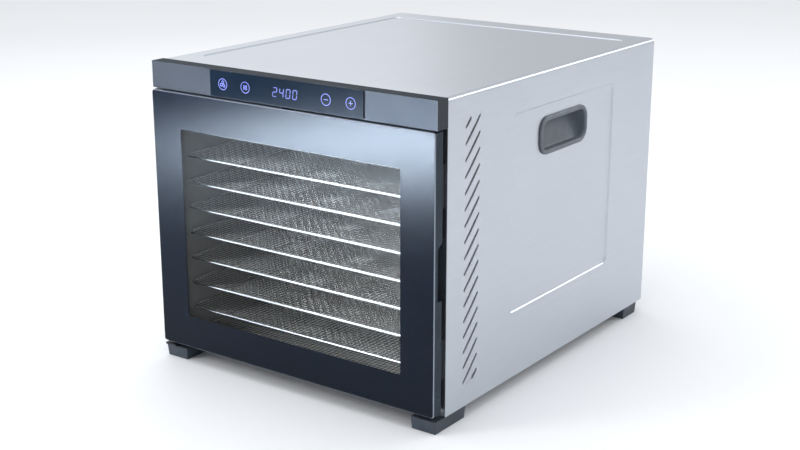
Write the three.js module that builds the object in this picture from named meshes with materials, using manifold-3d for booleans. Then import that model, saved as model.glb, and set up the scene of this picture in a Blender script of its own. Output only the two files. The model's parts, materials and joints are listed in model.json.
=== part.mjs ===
// Countertop food dehydrator: a steel cabinet on four feet, a hinged glass door, nine mesh trays
// on side ledges, and a ring heater and fan behind a slotted baffle.
// Millimetres, +Z up, the door faces -Y. The origin is the middle of the footprint, on the table.

import * as THREE from 'three';
import { mergeVertices } from 'three/addons/utils/BufferGeometryUtils.js';
import Module from 'manifold-3d';

const wasm = await Module();
wasm.setup();

// ---- Driving dimensions ----
// A name that ends in _X, _Y or _Z is a place on that axis. A "depth" is counted back from the
// cabinet's front edge.

const GAP = 0.3; // clearance between two pieces that touch
const SLIM_GAP = 0.2; // clearance where there is less room
const SHEET = 1; // steel sheet
const PASS = 5; // how far a cutting shape runs past the face that it cuts
const SINK = 0.5; // how far two shapes of one piece run into each other

// Cabinet
const BODY_WIDTH = 345;
const BODY_DEPTH = 404;
const TOP_Z = 315;
const FOOT_HEIGHT = 13;
const COVER_BEND = 4; // outer radius of the folded top edges
const DOOR_REACH = 19; // door glass in front of the cabinet's front edge
const REAR_COVER_REACH = 27; // fan cover behind the cabinet's rear edge
const SIDE_X = BODY_WIDTH / 2;
const FRONT_Y = DOOR_REACH - (DOOR_REACH + BODY_DEPTH + REAR_COVER_REACH) / 2;
const REAR_Y = FRONT_Y + BODY_DEPTH;
const INSIDE_X = SIDE_X - SHEET - GAP; // half width of what fits inside the cover
const INSIDE_TOP_Z = TOP_Z - SHEET - GAP;
const FRAME_DEPTH = 0.4;
const WALL_DEPTH = FRAME_DEPTH + SHEET + GAP; // where the chamber's walls start
const FOOT_X = [143.5, 172.3];
const FOOT_DEPTHS = { front: [-15.5, 35.2], rear: [361.5, 392.5] };
const FOOT_DRAFT = 1;

// Slanted vents in the cover's sides, all on parallel lines at 45 degrees
const VENT_DEPTH = 28.3;
const VENT_RUN = 24;
const VENT_HALF_WIDTH = 1; // measured straight up
const VENT_PITCH = 15.4;
const VENT_FIRST_Z = 21.5;
const VENT_COUNT = 18;
const VENT_LOWEST_Z = 37;
const VENT_HIGHEST_Z = 292;

// Carrying pockets in the cover's sides
const POCKET_DEPTH = 208; // middle of the pocket
const POCKET_Z = 249;
const POCKET_LENGTH = 94;
const POCKET_HEIGHT = 38.4;
const POCKET_CORNER = 14;
const POCKET_RIM = 4.7; // flange around the mouth
const POCKET_FLANGE = 0.7;
const POCKET_WALL = 1.2;
const POCKET_TOP_REACH = 16.5; // how far the scoop goes in at its top and at its bottom
const POCKET_BOTTOM_REACH = 4;

// Drying chamber and the duct behind it
const CHAMBER_X = 152;
const CHAMBER_Z = [23.5, 267.5];
const LINER_Z = [22, 269]; // the walls and the duct plate cover the floor's and ceiling's edges
const DUCT_DEPTH = 352;
const BAFFLE_DEPTH = 320;
const BAFFLE_SLOT = [40, 7];
const BAFFLE_SLOT_PITCH = 54;
const BAFFLE_SLOTS_ACROSS = 5;

// Trays and the ledges that they slide on
const TRAY_COUNT = 9;
const TRAY_PITCH = 27;
const TRAY_FIRST_Z = 29.3;
const TRAY_X = 149.7;
const TRAY_LENGTH = 316;
const TRAY_REACH = 2; // in front of the cabinet's front edge
const TRAY_BAR = 3;
const TRAY_MESH = 0.8;
const TRAY_CORNER = 10;
const LEDGE_WIDTH = 5.5;
const LEDGE_THICKNESS = 1.2;
const LEDGE_DEPTH = [8, 316];

// Door
const DOOR_X = 172;
const DOOR_Z = [18.2, 286.4];
const DOOR_BACK = 4.4; // the door frame's back, in front of the cabinet's front edge
const DOOR_HOLE_X = 153.5;
const DOOR_HOLE_Z = [25, 262];
const DOOR_HOLE_CORNER = 1.5;
const DOOR_CHAMFER = 2.5; // back upright edges, so that the hinge side can swing
const GLASS_THICKNESS = 4.5;
const GLASS_OVERHANG = 0.2;
const GLASS_BEVEL = 0.8;
const GLASS_CORNER = 3;
const GRIP_X = 161;
const GRIP_Z = [130, 180, 186.5]; // bottom, end of the upright wall, and top at the door's back
const GRIP_REACH = 9.2;
const SEAL_X = [153.6, 160];
const SEAL_BOTTOM_Z = [18.4, 24];
const SEAL_TOP_Z = [267.1, 273.5];
const SEAL_CORNERS = [6, 3]; // outer and inner

// Hinge at the door's left, magnet catch at its right
const HINGE_X = -165.5;
const HINGE_Y = FRONT_Y - 11.5;
const PIN_RADIUS = 1.7;
const PIN_IN_DOOR = 9;
const PIN_CLEAR = 2; // radius of the holes that the pins go into
const PIN_TOP_Z = 291;
const BUSH_RADIUS = 3;
const BUSH_FLANGE_RADIUS = 4.2;
const BUSH_FLANGE = 0.8;
const BUSH_DOOR_GAP = 0.6; // between the upper bush and the door's top
const UPPER_BUSH_TOP_Z = 291.4;
const BRACKET_SHEET = 2;
const BRACKET_ARM_X = [-172, -158];
const BRACKET_ARM_REACH = 17.5;
const BRACKET_FLANGE_X = [-172, -161];
const BRACKET_FLANGE_TOP_Z = 32;
const CATCH_X = [163, 169];
const CATCH_HEIGHT = 40;
const CATCH_MIDDLES_Z = { upper: 235, lower: 70 };
const MAGNET_THICKNESS = 4;
const CATCH_DEPTH = [-3.9, 0.1];

// Control strip above the door
const BEZEL_X = 172.7;
const BEZEL_REACH = 16.3;
const BEZEL_BOTTOM_Z = 288.1;
const BEZEL_WALL = 2;
const TOUCH_X = 93.2;
const TOUCH_Z = [289, 314.3];
const DISPLAY_X = [-17, 20];
const DISPLAY_Z = [296, 308];
const TOUCH_THICKNESS = 1;
const BOARD_SHEET = 1.6;
const BOARD_X = 85;
const BOARD_Z = [292, 311];
const BOARD_REACH = 12.5; // the board's front, in front of the cabinet's front edge
const CHIP_PLACES_X = [-50, 40];
const CHIP_SIZE = [12, 2, 8];
const PLUG_SIZE = [18, 7, 8];
const CHIP_Z = 301;

// Fan, motor and heater behind the baffle
const FAN_Y = FRONT_Y + 333;
const FAN_Z = (CHAMBER_Z[0] + CHAMBER_Z[1]) / 2;
const FAN_RADIUS = 74;
const FAN_BLADES = 8;
const FAN_HUB_RADIUS = 12;
const BLADE_SHEET = 1.2;
const BLADE_PITCH = Math.PI / 3; // turned away from edge-on to the air
const BLADE_ROOT = { radius: FAN_HUB_RADIUS - 3, half: 7 };
const BLADE_TIP = { corner: 12, half: 17, straight: 5 };
const HUB_HALF = 8;
const SHAFT_RADIUS = 3;
const MOTOR_Y = FRONT_Y + 375;
const STATOR_THICKNESS = 18;
const ROTOR_THICKNESS = 16;
const ROTOR_RADIUS = 14;
const ROTOR_AIR_GAP = 0.6;
const STATOR_X = 28;
const STATOR_ABOVE_AXIS = [-20, 50];
const STATOR_WINDOW = { half: 16, above: [22, 34] };
const COIL = { half: 15.5, depth: 40, above: [23, 61] };
const COIL_HOLE_ABOVE = [33.7, 50.3];
const BRACKET_STRAP_HEIGHT = 24;
const BRACKET_POST_X = [22, 28];
const BRACKET_POST_HEIGHT = 10;
const BRACKET_STRAPS = { front: [361.5, 363], rear: [387.5, 389] };
const BRACKET_POSTS = { front: [[353.7, 362], [362, 365.6]], rear: [[384.4, 388]] };
const BEARINGS = { front: [359.5, 364.5], rear: [386, 391] };
const SHAFT_DEPTHS = [324.5, 396];
const BEARING_RADIUS = 7;
const HEATER_RADIUS = 88;
const HEATER_TUBE = 3.5;
const HEATER_LEG_X = 8;
const HEATER_Y = FRONT_Y + 336;
const HEATER_LEG_BACK = [24, 11]; // the leg's end and its bend, behind the ring
const HEATER_OPEN_ANGLE = 0.21; // from the bottom to where the ring starts, on each side
const HEATER_RING_POINTS = 22;
const SENSOR = { x: 100, depth: 337, radius: 2.5, bottomZ: 243, clipRadius: 6, clip: 2 };
const CUTOUT = { x: 60, above: 70, ears: 30, earHeight: 8, ear: 1, radius: 9, height: 7 };
const SHAFT_HOLE_RADIUS = 6;
const LEG_CLEAR = 1;

// Power board above the chamber. Heights are counted from the board's top.
const POWER_STAND = 6;
const POWER_X = [-140, 0];
const POWER_DEPTHS = [35, 135];
const POWER_POST_INSET = 6;
const POWER_POST_RADIUS = 3;
const TRANSFORMER = { xs: [-130, -95], depths: [50, 82], height: 26 };
const RELAY = { xs: [-60, -40], depths: [50, 66], height: 16 };
const TERMINALS = { xs: [-35, -5], depths: [115, 127], height: 12 };
const CAPACITOR = { x: -70, depth: 105, radius: 8, height: 22 };

// Rear panel
const REAR_SLOT = [36, 4];
const REAR_SLOT_COLUMNS = 3;
const REAR_SLOT_PITCH = 46;
const PANEL_SLOT_ROWS = 10;
const PANEL_SLOT_ROW_PITCH = 12;
const REAR_SCREWS = [[-160, 26], [160, 26], [-160, 302], [160, 302]];
const REAR_SCREW_RADIUS = 1.6;
const REAR_SCREW_HEAD = { radius: 3.5, height: 2 };
const REAR_SCREW_BEHIND = 4; // how far the shank goes in past the panel
const REAR_COVER_HALF = 78;
const REAR_COVER_WALL = 2;
const REAR_COVER_CORNER = 14;
const COVER_SLOT_ROWS = 8;
const COVER_SLOT_ROW_PITCH = 15;
const COVER_SIDE_SLOT_ENDS = [8, 7]; // solid length before and after the side slots
const INLET_X = 120;
const INLET_Z = 60;
const INLET_HOLE = [28, 21];
const INLET_FLANGE = [33, 26];
const INLET_BODY = [27.4, 20.4];
const INLET_RECESS = [24, 17];
const INLET_REACH = [-17, 2]; // the body's back and the flange's face, from the cabinet's rear
const INLET_FLOOR = 2;
const BLADE_PLACES = [[-7, -2], [7, -2], [0, 2.5]];
const BLADE_SIZE = [2, 4];
const BLADE_BELOW_MOUTH = 6;

// ---- Finishes ----

/** A plain finish with the given colour, roughness and metalness. */
function finish(color, roughness, metalness) {
  return new THREE.MeshStandardMaterial({ color, roughness, metalness });
}

const CABINET_STEEL = finish(0xd5dbe4, 0.38, 0.9);
const CHAMBER_STEEL = finish(0x9b9a98, 0.35, 0.95);
const TRAY_STEEL = finish(0xdfe2e6, 0.18, 1);
const ZINC_STEEL = finish(0xb4b8bc, 0.5, 0.9);
const BEZEL_GREY = finish(0x70767f, 0.35, 0.6);
const TOUCH_BLACK = finish(0x18222f, 0.1, 0);
const DOOR_BLACK = finish(0x171e2a, 0.35, 0);
const DOOR_GLASS = finish(0x1c2735, 0.04, 0);
const FOOT_BLACK = finish(0x262e3a, 0.6, 0);
const POCKET_GREY = finish(0x6f7883, 0.5, 0);
const SEAL_BLACK = finish(0x11161d, 0.8, 0);
const CATCH_IRON = finish(0x5a5c60, 0.4, 0.9);
const HEATER_ALLOY = finish(0x57524d, 0.45, 0.9);
const FAN_ALUMINIUM = finish(0xc2c5c8, 0.4, 1);
const MOTOR_IRON = finish(0x4a4a4c, 0.6, 0.7);
const MOTOR_COPPER = finish(0xa8582c, 0.4, 0.9);
const BEARING_BRONZE = finish(0xa88752, 0.4, 0.9);
const BOARD_GREEN = finish(0x1f5a3a, 0.5, 0);
const DISPLAY_DARK = finish(0x1a2030, 0.3, 0);
const HINGE_NYLON = finish(0xc8c8c4, 0.5, 0);
const INLET_BLACK = finish(0x15171a, 0.5, 0);

// ---- Solids ----

const X = new THREE.Vector3(1, 0, 0);
const Y = new THREE.Vector3(0, 1, 0);
const Z = new THREE.Vector3(0, 0, 1);
const BACKWARDS = new THREE.Vector3(0, -1, 0);

/** A closed solid from any three.js geometry, ready to join or cut. */
function solid(geometry) {
  const bare = geometry.clone();
  bare.deleteAttribute('normal');
  bare.deleteAttribute('uv');
  const merged = mergeVertices(bare);
  const vertProperties = new Float32Array(merged.attributes.position.array);
  const triVerts = new Uint32Array(merged.index.array);
  return new wasm.Manifold(new wasm.Mesh({ numProp: 3, vertProperties, triVerts }));
}

/** The three.js geometry of a joined or cut solid. */
function surface(manifold) {
  const mesh = manifold.getMesh();
  const geometry = new THREE.BufferGeometry();
  geometry.setAttribute('position', new THREE.BufferAttribute(mesh.vertProperties, 3));
  geometry.setIndex(new THREE.BufferAttribute(mesh.triVerts, 1));
  geometry.computeVertexNormals();
  return geometry;
}

/** One geometry from several that overlap. */
function join(...geometries) {
  return surface(geometries.map(solid).reduce((whole, next) => whole.add(next)));
}

/** A geometry with the cutting shapes taken away. */
function cut(geometry, ...tools) {
  return surface(tools.map(solid).reduce((left, tool) => left.subtract(tool), solid(geometry)));
}

/** A range of the given length about its middle. */
function about(middle, length) {
  return [middle - length / 2, middle + length / 2];
}

/** A range the same distance to both sides of zero. */
function both(half) {
  return [-half, half];
}

/** A range made longer by the same amount at both ends. */
function wider([low, high], extra) {
  return [low - extra, high + extra];
}

/** A range on the right (side 1), or its mirror image on the left (side -1). */
function onSide(side, [near, far]) {
  return [side * near, side * far];
}

/** A range of depths, as places on Y. */
function behindFront([near, far]) {
  return [FRONT_Y + near, FRONT_Y + far];
}

/** A block between two places on each axis, given in either order. */
function block(...ranges) {
  const size = ranges.map(([a, b]) => Math.abs(b - a));
  const middle = ranges.map(([a, b]) => (a + b) / 2);
  return new THREE.BoxGeometry(...size).translate(...middle);
}

/** A closed outline through the given points. */
function outline(points) {
  return new THREE.Shape(points.map(([a, b]) => new THREE.Vector2(a, b)));
}

/** A rectangle with round corners. */
function roundedRect([a0, a1], [b0, b1], radius) {
  const shape = new THREE.Shape();
  shape.absarc(a1 - radius, b0 + radius, radius, -Math.PI / 2, 0);
  shape.absarc(a1 - radius, b1 - radius, radius, 0, Math.PI / 2);
  shape.absarc(a0 + radius, b1 - radius, radius, Math.PI / 2, Math.PI);
  shape.absarc(a0 + radius, b0 + radius, radius, Math.PI, Math.PI * 1.5);
  return shape;
}

/** An outline drawn on two axes and extruded along the third. */
function extrude(shape, [start, end], axes, curveSegments) {
  const settings = { depth: end - start, bevelEnabled: false, curveSegments };
  const geometry = new THREE.ExtrudeGeometry(shape, settings).translate(0, 0, start);
  return geometry.applyMatrix4(new THREE.Matrix4().makeBasis(...axes));
}

/** An outline in X and Z, from one Y to another. */
function alongY(shape, [near, far], curveSegments = 2) {
  return extrude(shape, [-far, -near], [X, Z, BACKWARDS], curveSegments);
}

/** An outline in Y and Z, from one X to another. */
function alongX(shape, range, curveSegments = 2) {
  return extrude(shape, range, [Y, Z, X], curveSegments);
}

/** An outline in X and Y, from one Z to another. */
function alongZ(shape, range, curveSegments = 2) {
  return extrude(shape, range, [X, Y, Z], curveSegments);
}

/** A round bar along Y about a point in X and Z. */
function barY([x, z], radius, [near, far], sides = 16) {
  const bar = new THREE.CylinderGeometry(radius, radius, far - near, sides);
  return bar.translate(x, (near + far) / 2, z);
}

/** A round bar along Z about a point in X and Y. */
function barZ([x, y], radius, [bottom, top], sides = 16) {
  const bar = new THREE.CylinderGeometry(radius, radius, top - bottom, sides);
  return bar.rotateX(Math.PI / 2).translate(x, y, (bottom + top) / 2);
}

/** Blocks in rows and columns, to cut slots through a plate that faces along Y. */
function slotGrid([width, height], [columns, rows], [pitchX, pitchZ], middleZ, ys) {
  const slots = [];
  for (let column = 0; column < columns; column += 1) {
    for (let row = 0; row < rows; row += 1) {
      const x = (column - (columns - 1) / 2) * pitchX;
      const z = middleZ + (row - (rows - 1) / 2) * pitchZ;
      slots.push(block(about(x, width), ys, about(z, height)));
    }
  }
  return slots;
}

/** A named piece of the object, at a place. */
function piece(name, geometry, material, place = [0, 0, 0]) {
  const mesh = new THREE.Mesh(geometry, material);
  mesh.name = name;
  mesh.position.set(...place);
  return mesh;
}

// ---- Casing ----

/** The vent on the line that starts at the given height, cut short where the pattern ends. */
function ventTool(lineZ) {
  const start = Math.max(0, VENT_LOWEST_Z - lineZ);
  const end = Math.min(VENT_RUN, VENT_HIGHEST_Z - lineZ);
  const frontY = FRONT_Y + VENT_DEPTH;
  const slit = outline([
    [frontY + start, lineZ + start - VENT_HALF_WIDTH],
    [frontY + end, lineZ + end - VENT_HALF_WIDTH],
    [frontY + end, lineZ + end + VENT_HALF_WIDTH],
    [frontY + start, lineZ + start + VENT_HALF_WIDTH],
  ]);
  return alongX(slit, both(SIDE_X + PASS));
}

/** The steel wrap: both sides and the top, folded from one sheet. */
function coverGeometry() {
  const bendX = SIDE_X - COVER_BEND;
  const bendZ = TOP_Z - COVER_BEND;
  const insideBend = COVER_BEND - SHEET;
  const wrap = new THREE.Shape();
  wrap.moveTo(SIDE_X, FOOT_HEIGHT);
  wrap.absarc(bendX, bendZ, COVER_BEND, 0, Math.PI / 2);
  wrap.absarc(-bendX, bendZ, COVER_BEND, Math.PI / 2, Math.PI);
  wrap.lineTo(-SIDE_X, FOOT_HEIGHT);
  wrap.lineTo(SHEET - SIDE_X, FOOT_HEIGHT);
  wrap.absarc(-bendX, bendZ, insideBend, Math.PI, Math.PI / 2, true);
  wrap.absarc(bendX, bendZ, insideBend, Math.PI / 2, 0, true);
  wrap.lineTo(SIDE_X - SHEET, FOOT_HEIGHT);
  const [bowlLength, bowlHeight] = pocketBowlSize();
  const pocketTool = block(
    both(SIDE_X + PASS),
    about(FRONT_Y + POCKET_DEPTH, bowlLength + 2 * GAP),
    about(POCKET_Z, bowlHeight + 2 * GAP),
  );
  const lines = Array.from({ length: VENT_COUNT }, (_, i) => VENT_FIRST_Z + i * VENT_PITCH);
  return cut(alongY(wrap, [FRONT_Y, REAR_Y]), pocketTool, ...lines.map(ventTool));
}

/** Length and height of a carrying pocket's bowl, behind its flange. */
function pocketBowlSize() {
  const rims = 2 * (POCKET_RIM - POCKET_WALL);
  return [POCKET_LENGTH - rims, POCKET_HEIGHT - rims];
}

/** The scoop in X and Z: an upright mouth, and a slope that goes in further at the top. */
function scoopOutline(halfHeight, mouthX, wall) {
  return outline([
    [mouthX, -halfHeight],
    [mouthX, halfHeight],
    [-POCKET_TOP_REACH - wall, halfHeight],
    [-POCKET_BOTTOM_REACH - wall, -halfHeight],
  ]);
}

/** A carrying pocket that opens to +X, about the middle of its mouth on the cover's face. */
function pocketGeometry() {
  const [bowlLength, bowlHeight] = pocketBowlSize();
  const mouthLength = bowlLength - 2 * POCKET_WALL;
  const mouthHeight = bowlHeight - 2 * POCKET_WALL;
  const mouthRadius = POCKET_CORNER - POCKET_RIM;
  const rim = roundedRect(both(POCKET_LENGTH / 2), both(POCKET_HEIGHT / 2), POCKET_CORNER);
  const mouth = roundedRect(both(mouthLength / 2), both(mouthHeight / 2), mouthRadius);
  const flange = cut(alongX(rim, [GAP, GAP + POCKET_FLANGE]), alongX(mouth, both(PASS)));
  const outside = scoopOutline(bowlHeight / 2, GAP + POCKET_FLANGE / 2, POCKET_WALL);
  const inside = scoopOutline(mouthHeight / 2, PASS, 0);
  const bowl = cut(alongY(outside, both(bowlLength / 2)), alongY(inside, both(mouthLength / 2)));
  return join(flange, bowl);
}

/** A sheet that fills the cover's inside from edge to edge. */
function innerSheet(ys) {
  const corner = COVER_BEND - SHEET;
  return alongY(roundedRect(both(INSIDE_X), [FOOT_HEIGHT, INSIDE_TOP_Z], corner), ys);
}

/** The sheet frame around the chamber's mouth, which also closes the bay above it. */
function frontFrameGeometry() {
  const ys = behindFront([FRAME_DEPTH, FRAME_DEPTH + SHEET]);
  return cut(innerSheet(ys), block(both(CHAMBER_X - GAP), wider(ys, PASS), CHAMBER_Z));
}

const REAR_PANEL_Y = [REAR_Y - GAP - SHEET, REAR_Y - GAP];

function basePlateGeometry() {
  const ys = [FRONT_Y + WALL_DEPTH, REAR_PANEL_Y[0] - GAP];
  return block(both(INSIDE_X), ys, [FOOT_HEIGHT, FOOT_HEIGHT + SHEET]);
}

/** The rear panel, with air slots behind the fan cover and holes for the inlet and its screws. */
function rearPanelGeometry() {
  const through = wider(REAR_PANEL_Y, PASS);
  const counts = [REAR_SLOT_COLUMNS, PANEL_SLOT_ROWS];
  const pitches = [REAR_SLOT_PITCH, PANEL_SLOT_ROW_PITCH];
  const slots = slotGrid(REAR_SLOT, counts, pitches, FAN_Z, through);
  const inletHole = inletBlock(INLET_HOLE, through);
  const holes = REAR_SCREWS.map((place) => barY(place, REAR_SCREW_RADIUS + GAP, through, 8));
  return cut(innerSheet(REAR_PANEL_Y), inletHole, ...slots, ...holes);
}

/** A pan-head screw along Y, about its place on the rear panel. */
function rearScrewGeometry() {
  const { radius, height } = REAR_SCREW_HEAD;
  const head = barY([0, 0], radius, [REAR_Y, REAR_Y + height], 12);
  const shankY = [REAR_PANEL_Y[0] - REAR_SCREW_BEHIND, REAR_Y + SINK];
  const shank = barY([0, 0], REAR_SCREW_RADIUS, shankY, 8);
  return join(head, shank);
}

/** The box over the rear panel's slots, which keeps the air path clear of a wall. */
function rearCoverGeometry() {
  const farY = REAR_Y + REAR_COVER_REACH;
  const square = (half, radius) => roundedRect(both(half), about(FAN_Z, 2 * half), radius);
  const outside = alongY(square(REAR_COVER_HALF, REAR_COVER_CORNER), [REAR_Y + GAP, farY]);
  const hollow = alongY(
    square(REAR_COVER_HALF - REAR_COVER_WALL, REAR_COVER_CORNER - REAR_COVER_WALL),
    [REAR_Y - PASS, farY - REAR_COVER_WALL],
  );
  const pitches = [REAR_SLOT_PITCH, COVER_SLOT_ROW_PITCH];
  const backCounts = [REAR_SLOT_COLUMNS, COVER_SLOT_ROWS];
  const backSlots = slotGrid(REAR_SLOT, backCounts, pitches, FAN_Z, about(farY, 2 * PASS));
  const sideSlot = [2 * (REAR_COVER_HALF + PASS), REAR_SLOT[1]];
  const sideY = [REAR_Y + COVER_SIDE_SLOT_ENDS[0], farY - COVER_SIDE_SLOT_ENDS[1]];
  const sideSlots = slotGrid(sideSlot, [1, COVER_SLOT_ROWS], pitches, FAN_Z, sideY);
  return cut(outside, hollow, ...backSlots, ...sideSlots);
}

/** A foot with a little draft, between two places on X and on Y. */
function footGeometry(xs, ys) {
  const foot = block(xs, ys, [0, FOOT_HEIGHT - GAP]);
  const points = foot.attributes.position;
  const [middleX, middleY] = [xs, ys].map(([a, b]) => (a + b) / 2);
  for (let i = 0; i < points.count; i += 1) {
    if (points.getZ(i) < FOOT_HEIGHT / 2) {
      points.setX(i, points.getX(i) - FOOT_DRAFT * Math.sign(points.getX(i) - middleX));
      points.setY(i, points.getY(i) - FOOT_DRAFT * Math.sign(points.getY(i) - middleY));
    }
  }
  return foot;
}

/** The four feet. The front pair reaches forward under the door. */
function feet() {
  const sides = Object.entries({ left: -1, right: 1 });
  return Object.entries(FOOT_DEPTHS).flatMap(([end, depths]) => sides.map(([name, side]) => {
    const geometry = footGeometry(onSide(side, FOOT_X), behindFront(depths));
    return piece(`foot_${end}_${name}`, geometry, FOOT_BLACK);
  }));
}

/** A block of the given width and height about the middle of the inlet. */
function inletBlock([width, height], ys) {
  return block(about(INLET_X, width), ys, about(INLET_Z, height));
}

/** The mains socket: a flanged body with a recess and three blades. */
function inletGeometry() {
  const [backY, mouthY] = INLET_REACH.map((reach) => REAR_Y + reach);
  const floorY = backY + INLET_FLOOR;
  const flange = inletBlock(INLET_FLANGE, [REAR_Y, mouthY]);
  const body = inletBlock(INLET_BODY, [backY, REAR_Y + SINK]);
  const recess = inletBlock(INLET_RECESS, [floorY, mouthY + PASS]);
  const blades = BLADE_PLACES.map(([x, z]) => (
    inletBlock(BLADE_SIZE, [floorY - SINK, mouthY - BLADE_BELOW_MOUTH]).translate(x, 0, z)
  ));
  return join(cut(join(flange, body), recess), ...blades);
}

// ---- Control strip ----

/** The strip's housing: open at the back, with a window for the display and a hinge hole. */
function bezelGeometry() {
  const frontY = FRONT_Y - BEZEL_REACH;
  const backY = FRONT_Y - GAP;
  const housing = block(both(BEZEL_X), [frontY, backY], [BEZEL_BOTTOM_Z, TOP_Z]);
  const hollow = block(
    both(BEZEL_X - BEZEL_WALL),
    [frontY + BEZEL_WALL, backY + PASS],
    [BEZEL_BOTTOM_Z + BEZEL_WALL, TOP_Z - BEZEL_WALL],
  );
  const display = block(DISPLAY_X, [frontY - PASS, frontY + PASS], DISPLAY_Z);
  const hinge = barZ(HINGE_PLACE, BUSH_RADIUS + GAP, about(BEZEL_BOTTOM_Z, 2 * PASS));
  return cut(housing, hollow, display, hinge);
}

function touchPanelGeometry() {
  const backY = FRONT_Y - BEZEL_REACH - GAP;
  return block(both(TOUCH_X), [backY - TOUCH_THICKNESS, backY], TOUCH_Z);
}

const CONTROL_BOARD_Y = [FRONT_Y - BOARD_REACH, FRONT_Y - BOARD_REACH + BOARD_SHEET];

/** A part that stands on the back of the control board. */
function boardPart(x, [width, depth, height]) {
  const backY = CONTROL_BOARD_Y[1];
  return block(about(x, width), [backY - SINK, backY + depth], about(CHIP_Z, height));
}

/** The board behind the strip, with the touch keys' driver chips and a plug on its back. */
function controlBoardGeometry() {
  const board = block(both(BOARD_X), CONTROL_BOARD_Y, BOARD_Z);
  const chips = CHIP_PLACES_X.map((x) => boardPart(x, CHIP_SIZE));
  return join(board, ...chips, boardPart(0, PLUG_SIZE));
}

function displayGeometry() {
  const ys = [FRONT_Y - BEZEL_REACH + SLIM_GAP, CONTROL_BOARD_Y[0] - GAP];
  return block(wider(DISPLAY_X, -GAP), ys, wider(DISPLAY_Z, -GAP));
}

// ---- Drying chamber ----

const TRAY_HEIGHTS = Array.from({ length: TRAY_COUNT }, (_, i) => TRAY_FIRST_Z + i * TRAY_PITCH);
const TRAY_Y = FRONT_Y - TRAY_REACH + TRAY_LENGTH / 2;
const LINER_Y = behindFront([WALL_DEPTH, DUCT_DEPTH]);

/** A side wall of the chamber, with a ledge under each tray. */
function chamberWallGeometry(side) {
  const wall = block(onSide(side, [CHAMBER_X, CHAMBER_X + SHEET]), LINER_Y, LINER_Z);
  const ledgeX = onSide(side, [CHAMBER_X - LEDGE_WIDTH, CHAMBER_X + SINK]);
  const ledges = TRAY_HEIGHTS.map((z) => {
    const top = z - TRAY_BAR / 2 - GAP;
    return block(ledgeX, behindFront(LEDGE_DEPTH), [top - LEDGE_THICKNESS, top]);
  });
  return join(wall, ...ledges);
}

/** The chamber's floor or ceiling, from its lower face up. */
function chamberSlabGeometry(bottom) {
  return block(both(CHAMBER_X - GAP), LINER_Y, [bottom, bottom + SHEET]);
}

/** The slotted sheet between the trays and the fan, with a row of slots above each tray. */
function baffleGeometry() {
  const ys = behindFront([BAFFLE_DEPTH, BAFFLE_DEPTH + SHEET]);
  const plate = block(both(CHAMBER_X - GAP), ys, wider(CHAMBER_Z, -GAP));
  const middleZ = (TRAY_HEIGHTS[0] + TRAY_HEIGHTS[TRAY_COUNT - 1]) / 2 + TRAY_PITCH / 2;
  const pitches = [BAFFLE_SLOT_PITCH, TRAY_PITCH];
  const count = [BAFFLE_SLOTS_ACROSS, TRAY_COUNT];
  return cut(plate, ...slotGrid(BAFFLE_SLOT, count, pitches, middleZ, wider(ys, PASS)));
}

/** The duct's back plate, with holes for the fan shaft and for the heater's two legs. */
function ductPlateGeometry() {
  const ys = behindFront([DUCT_DEPTH + GAP, DUCT_DEPTH + GAP + SHEET]);
  const plate = block(both(CHAMBER_X + SHEET), ys, LINER_Z);
  const through = wider(ys, PASS);
  const shaft = barY([0, FAN_Z], SHAFT_HOLE_RADIUS, through);
  const legs = [-1, 1].map((side) => (
    barY([side * HEATER_LEG_X, FAN_Z - HEATER_RADIUS], HEATER_TUBE + LEG_CLEAR, through, 12)
  ));
  return cut(plate, shaft, ...legs);
}

/** A tray about its own middle: a square-bar frame with the mesh sheet across it. */
function trayGeometry() {
  const frame = roundedRect(both(TRAY_X), both(TRAY_LENGTH / 2), TRAY_CORNER);
  const corner = TRAY_CORNER - TRAY_BAR;
  const holeX = both(TRAY_X - TRAY_BAR);
  const holeY = both(TRAY_LENGTH / 2 - TRAY_BAR);
  const hole = roundedRect(holeX, holeY, corner);
  const sheet = roundedRect(wider(holeX, SINK), wider(holeY, SINK), corner);
  const ring = cut(alongZ(frame, both(TRAY_BAR / 2)), alongZ(hole, both(PASS)));
  return join(ring, alongZ(sheet, both(TRAY_MESH / 2)));
}

/** All the trays, the lowest first. */
function trays() {
  const geometry = trayGeometry();
  return TRAY_HEIGHTS.map((z, i) => piece(`tray_${i + 1}`, geometry, TRAY_STEEL, [0, TRAY_Y, z]));
}

// ---- Door ----

const GLASS_FRONT_Y = FRONT_Y - DOOR_REACH;
const DOOR_BACK_Y = FRONT_Y - DOOR_BACK;
const DOOR_FRAME_Y = [GLASS_FRONT_Y + GLASS_THICKNESS + GAP, DOOR_BACK_Y];
const MAGNET_Y = [DOOR_BACK_Y - GAP - MAGNET_THICKNESS, DOOR_BACK_Y - GAP];

/** The glass pane that covers the whole front of the door, with bevelled edges. */
function glassGeometry() {
  const pane = roundedRect(
    both(DOOR_X + GLASS_OVERHANG),
    wider(DOOR_Z, GLASS_OVERHANG),
    GLASS_CORNER,
  );
  const geometry = new THREE.ExtrudeGeometry(pane, {
    depth: GLASS_THICKNESS - 2 * GLASS_BEVEL,
    bevelThickness: GLASS_BEVEL,
    bevelSize: GLASS_BEVEL,
    bevelOffset: -GLASS_BEVEL,
    bevelSegments: 1,
    curveSegments: 2,
  });
  const backY = GLASS_FRONT_Y + GLASS_THICKNESS;
  return geometry.rotateX(Math.PI / 2).translate(0, backY - GLASS_BEVEL, 0);
}

/** The finger recess in the door's right edge, open to the side and to the back. */
function gripTool() {
  const [bottom, upright, top] = GRIP_Z;
  const frontY = DOOR_BACK_Y - GRIP_REACH;
  const recess = outline([
    [frontY, bottom],
    [DOOR_BACK_Y + PASS, bottom],
    [DOOR_BACK_Y + PASS, top],
    [DOOR_BACK_Y, top],
    [frontY, upright],
  ]);
  return alongX(recess, [GRIP_X, DOOR_X + PASS]);
}

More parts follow.
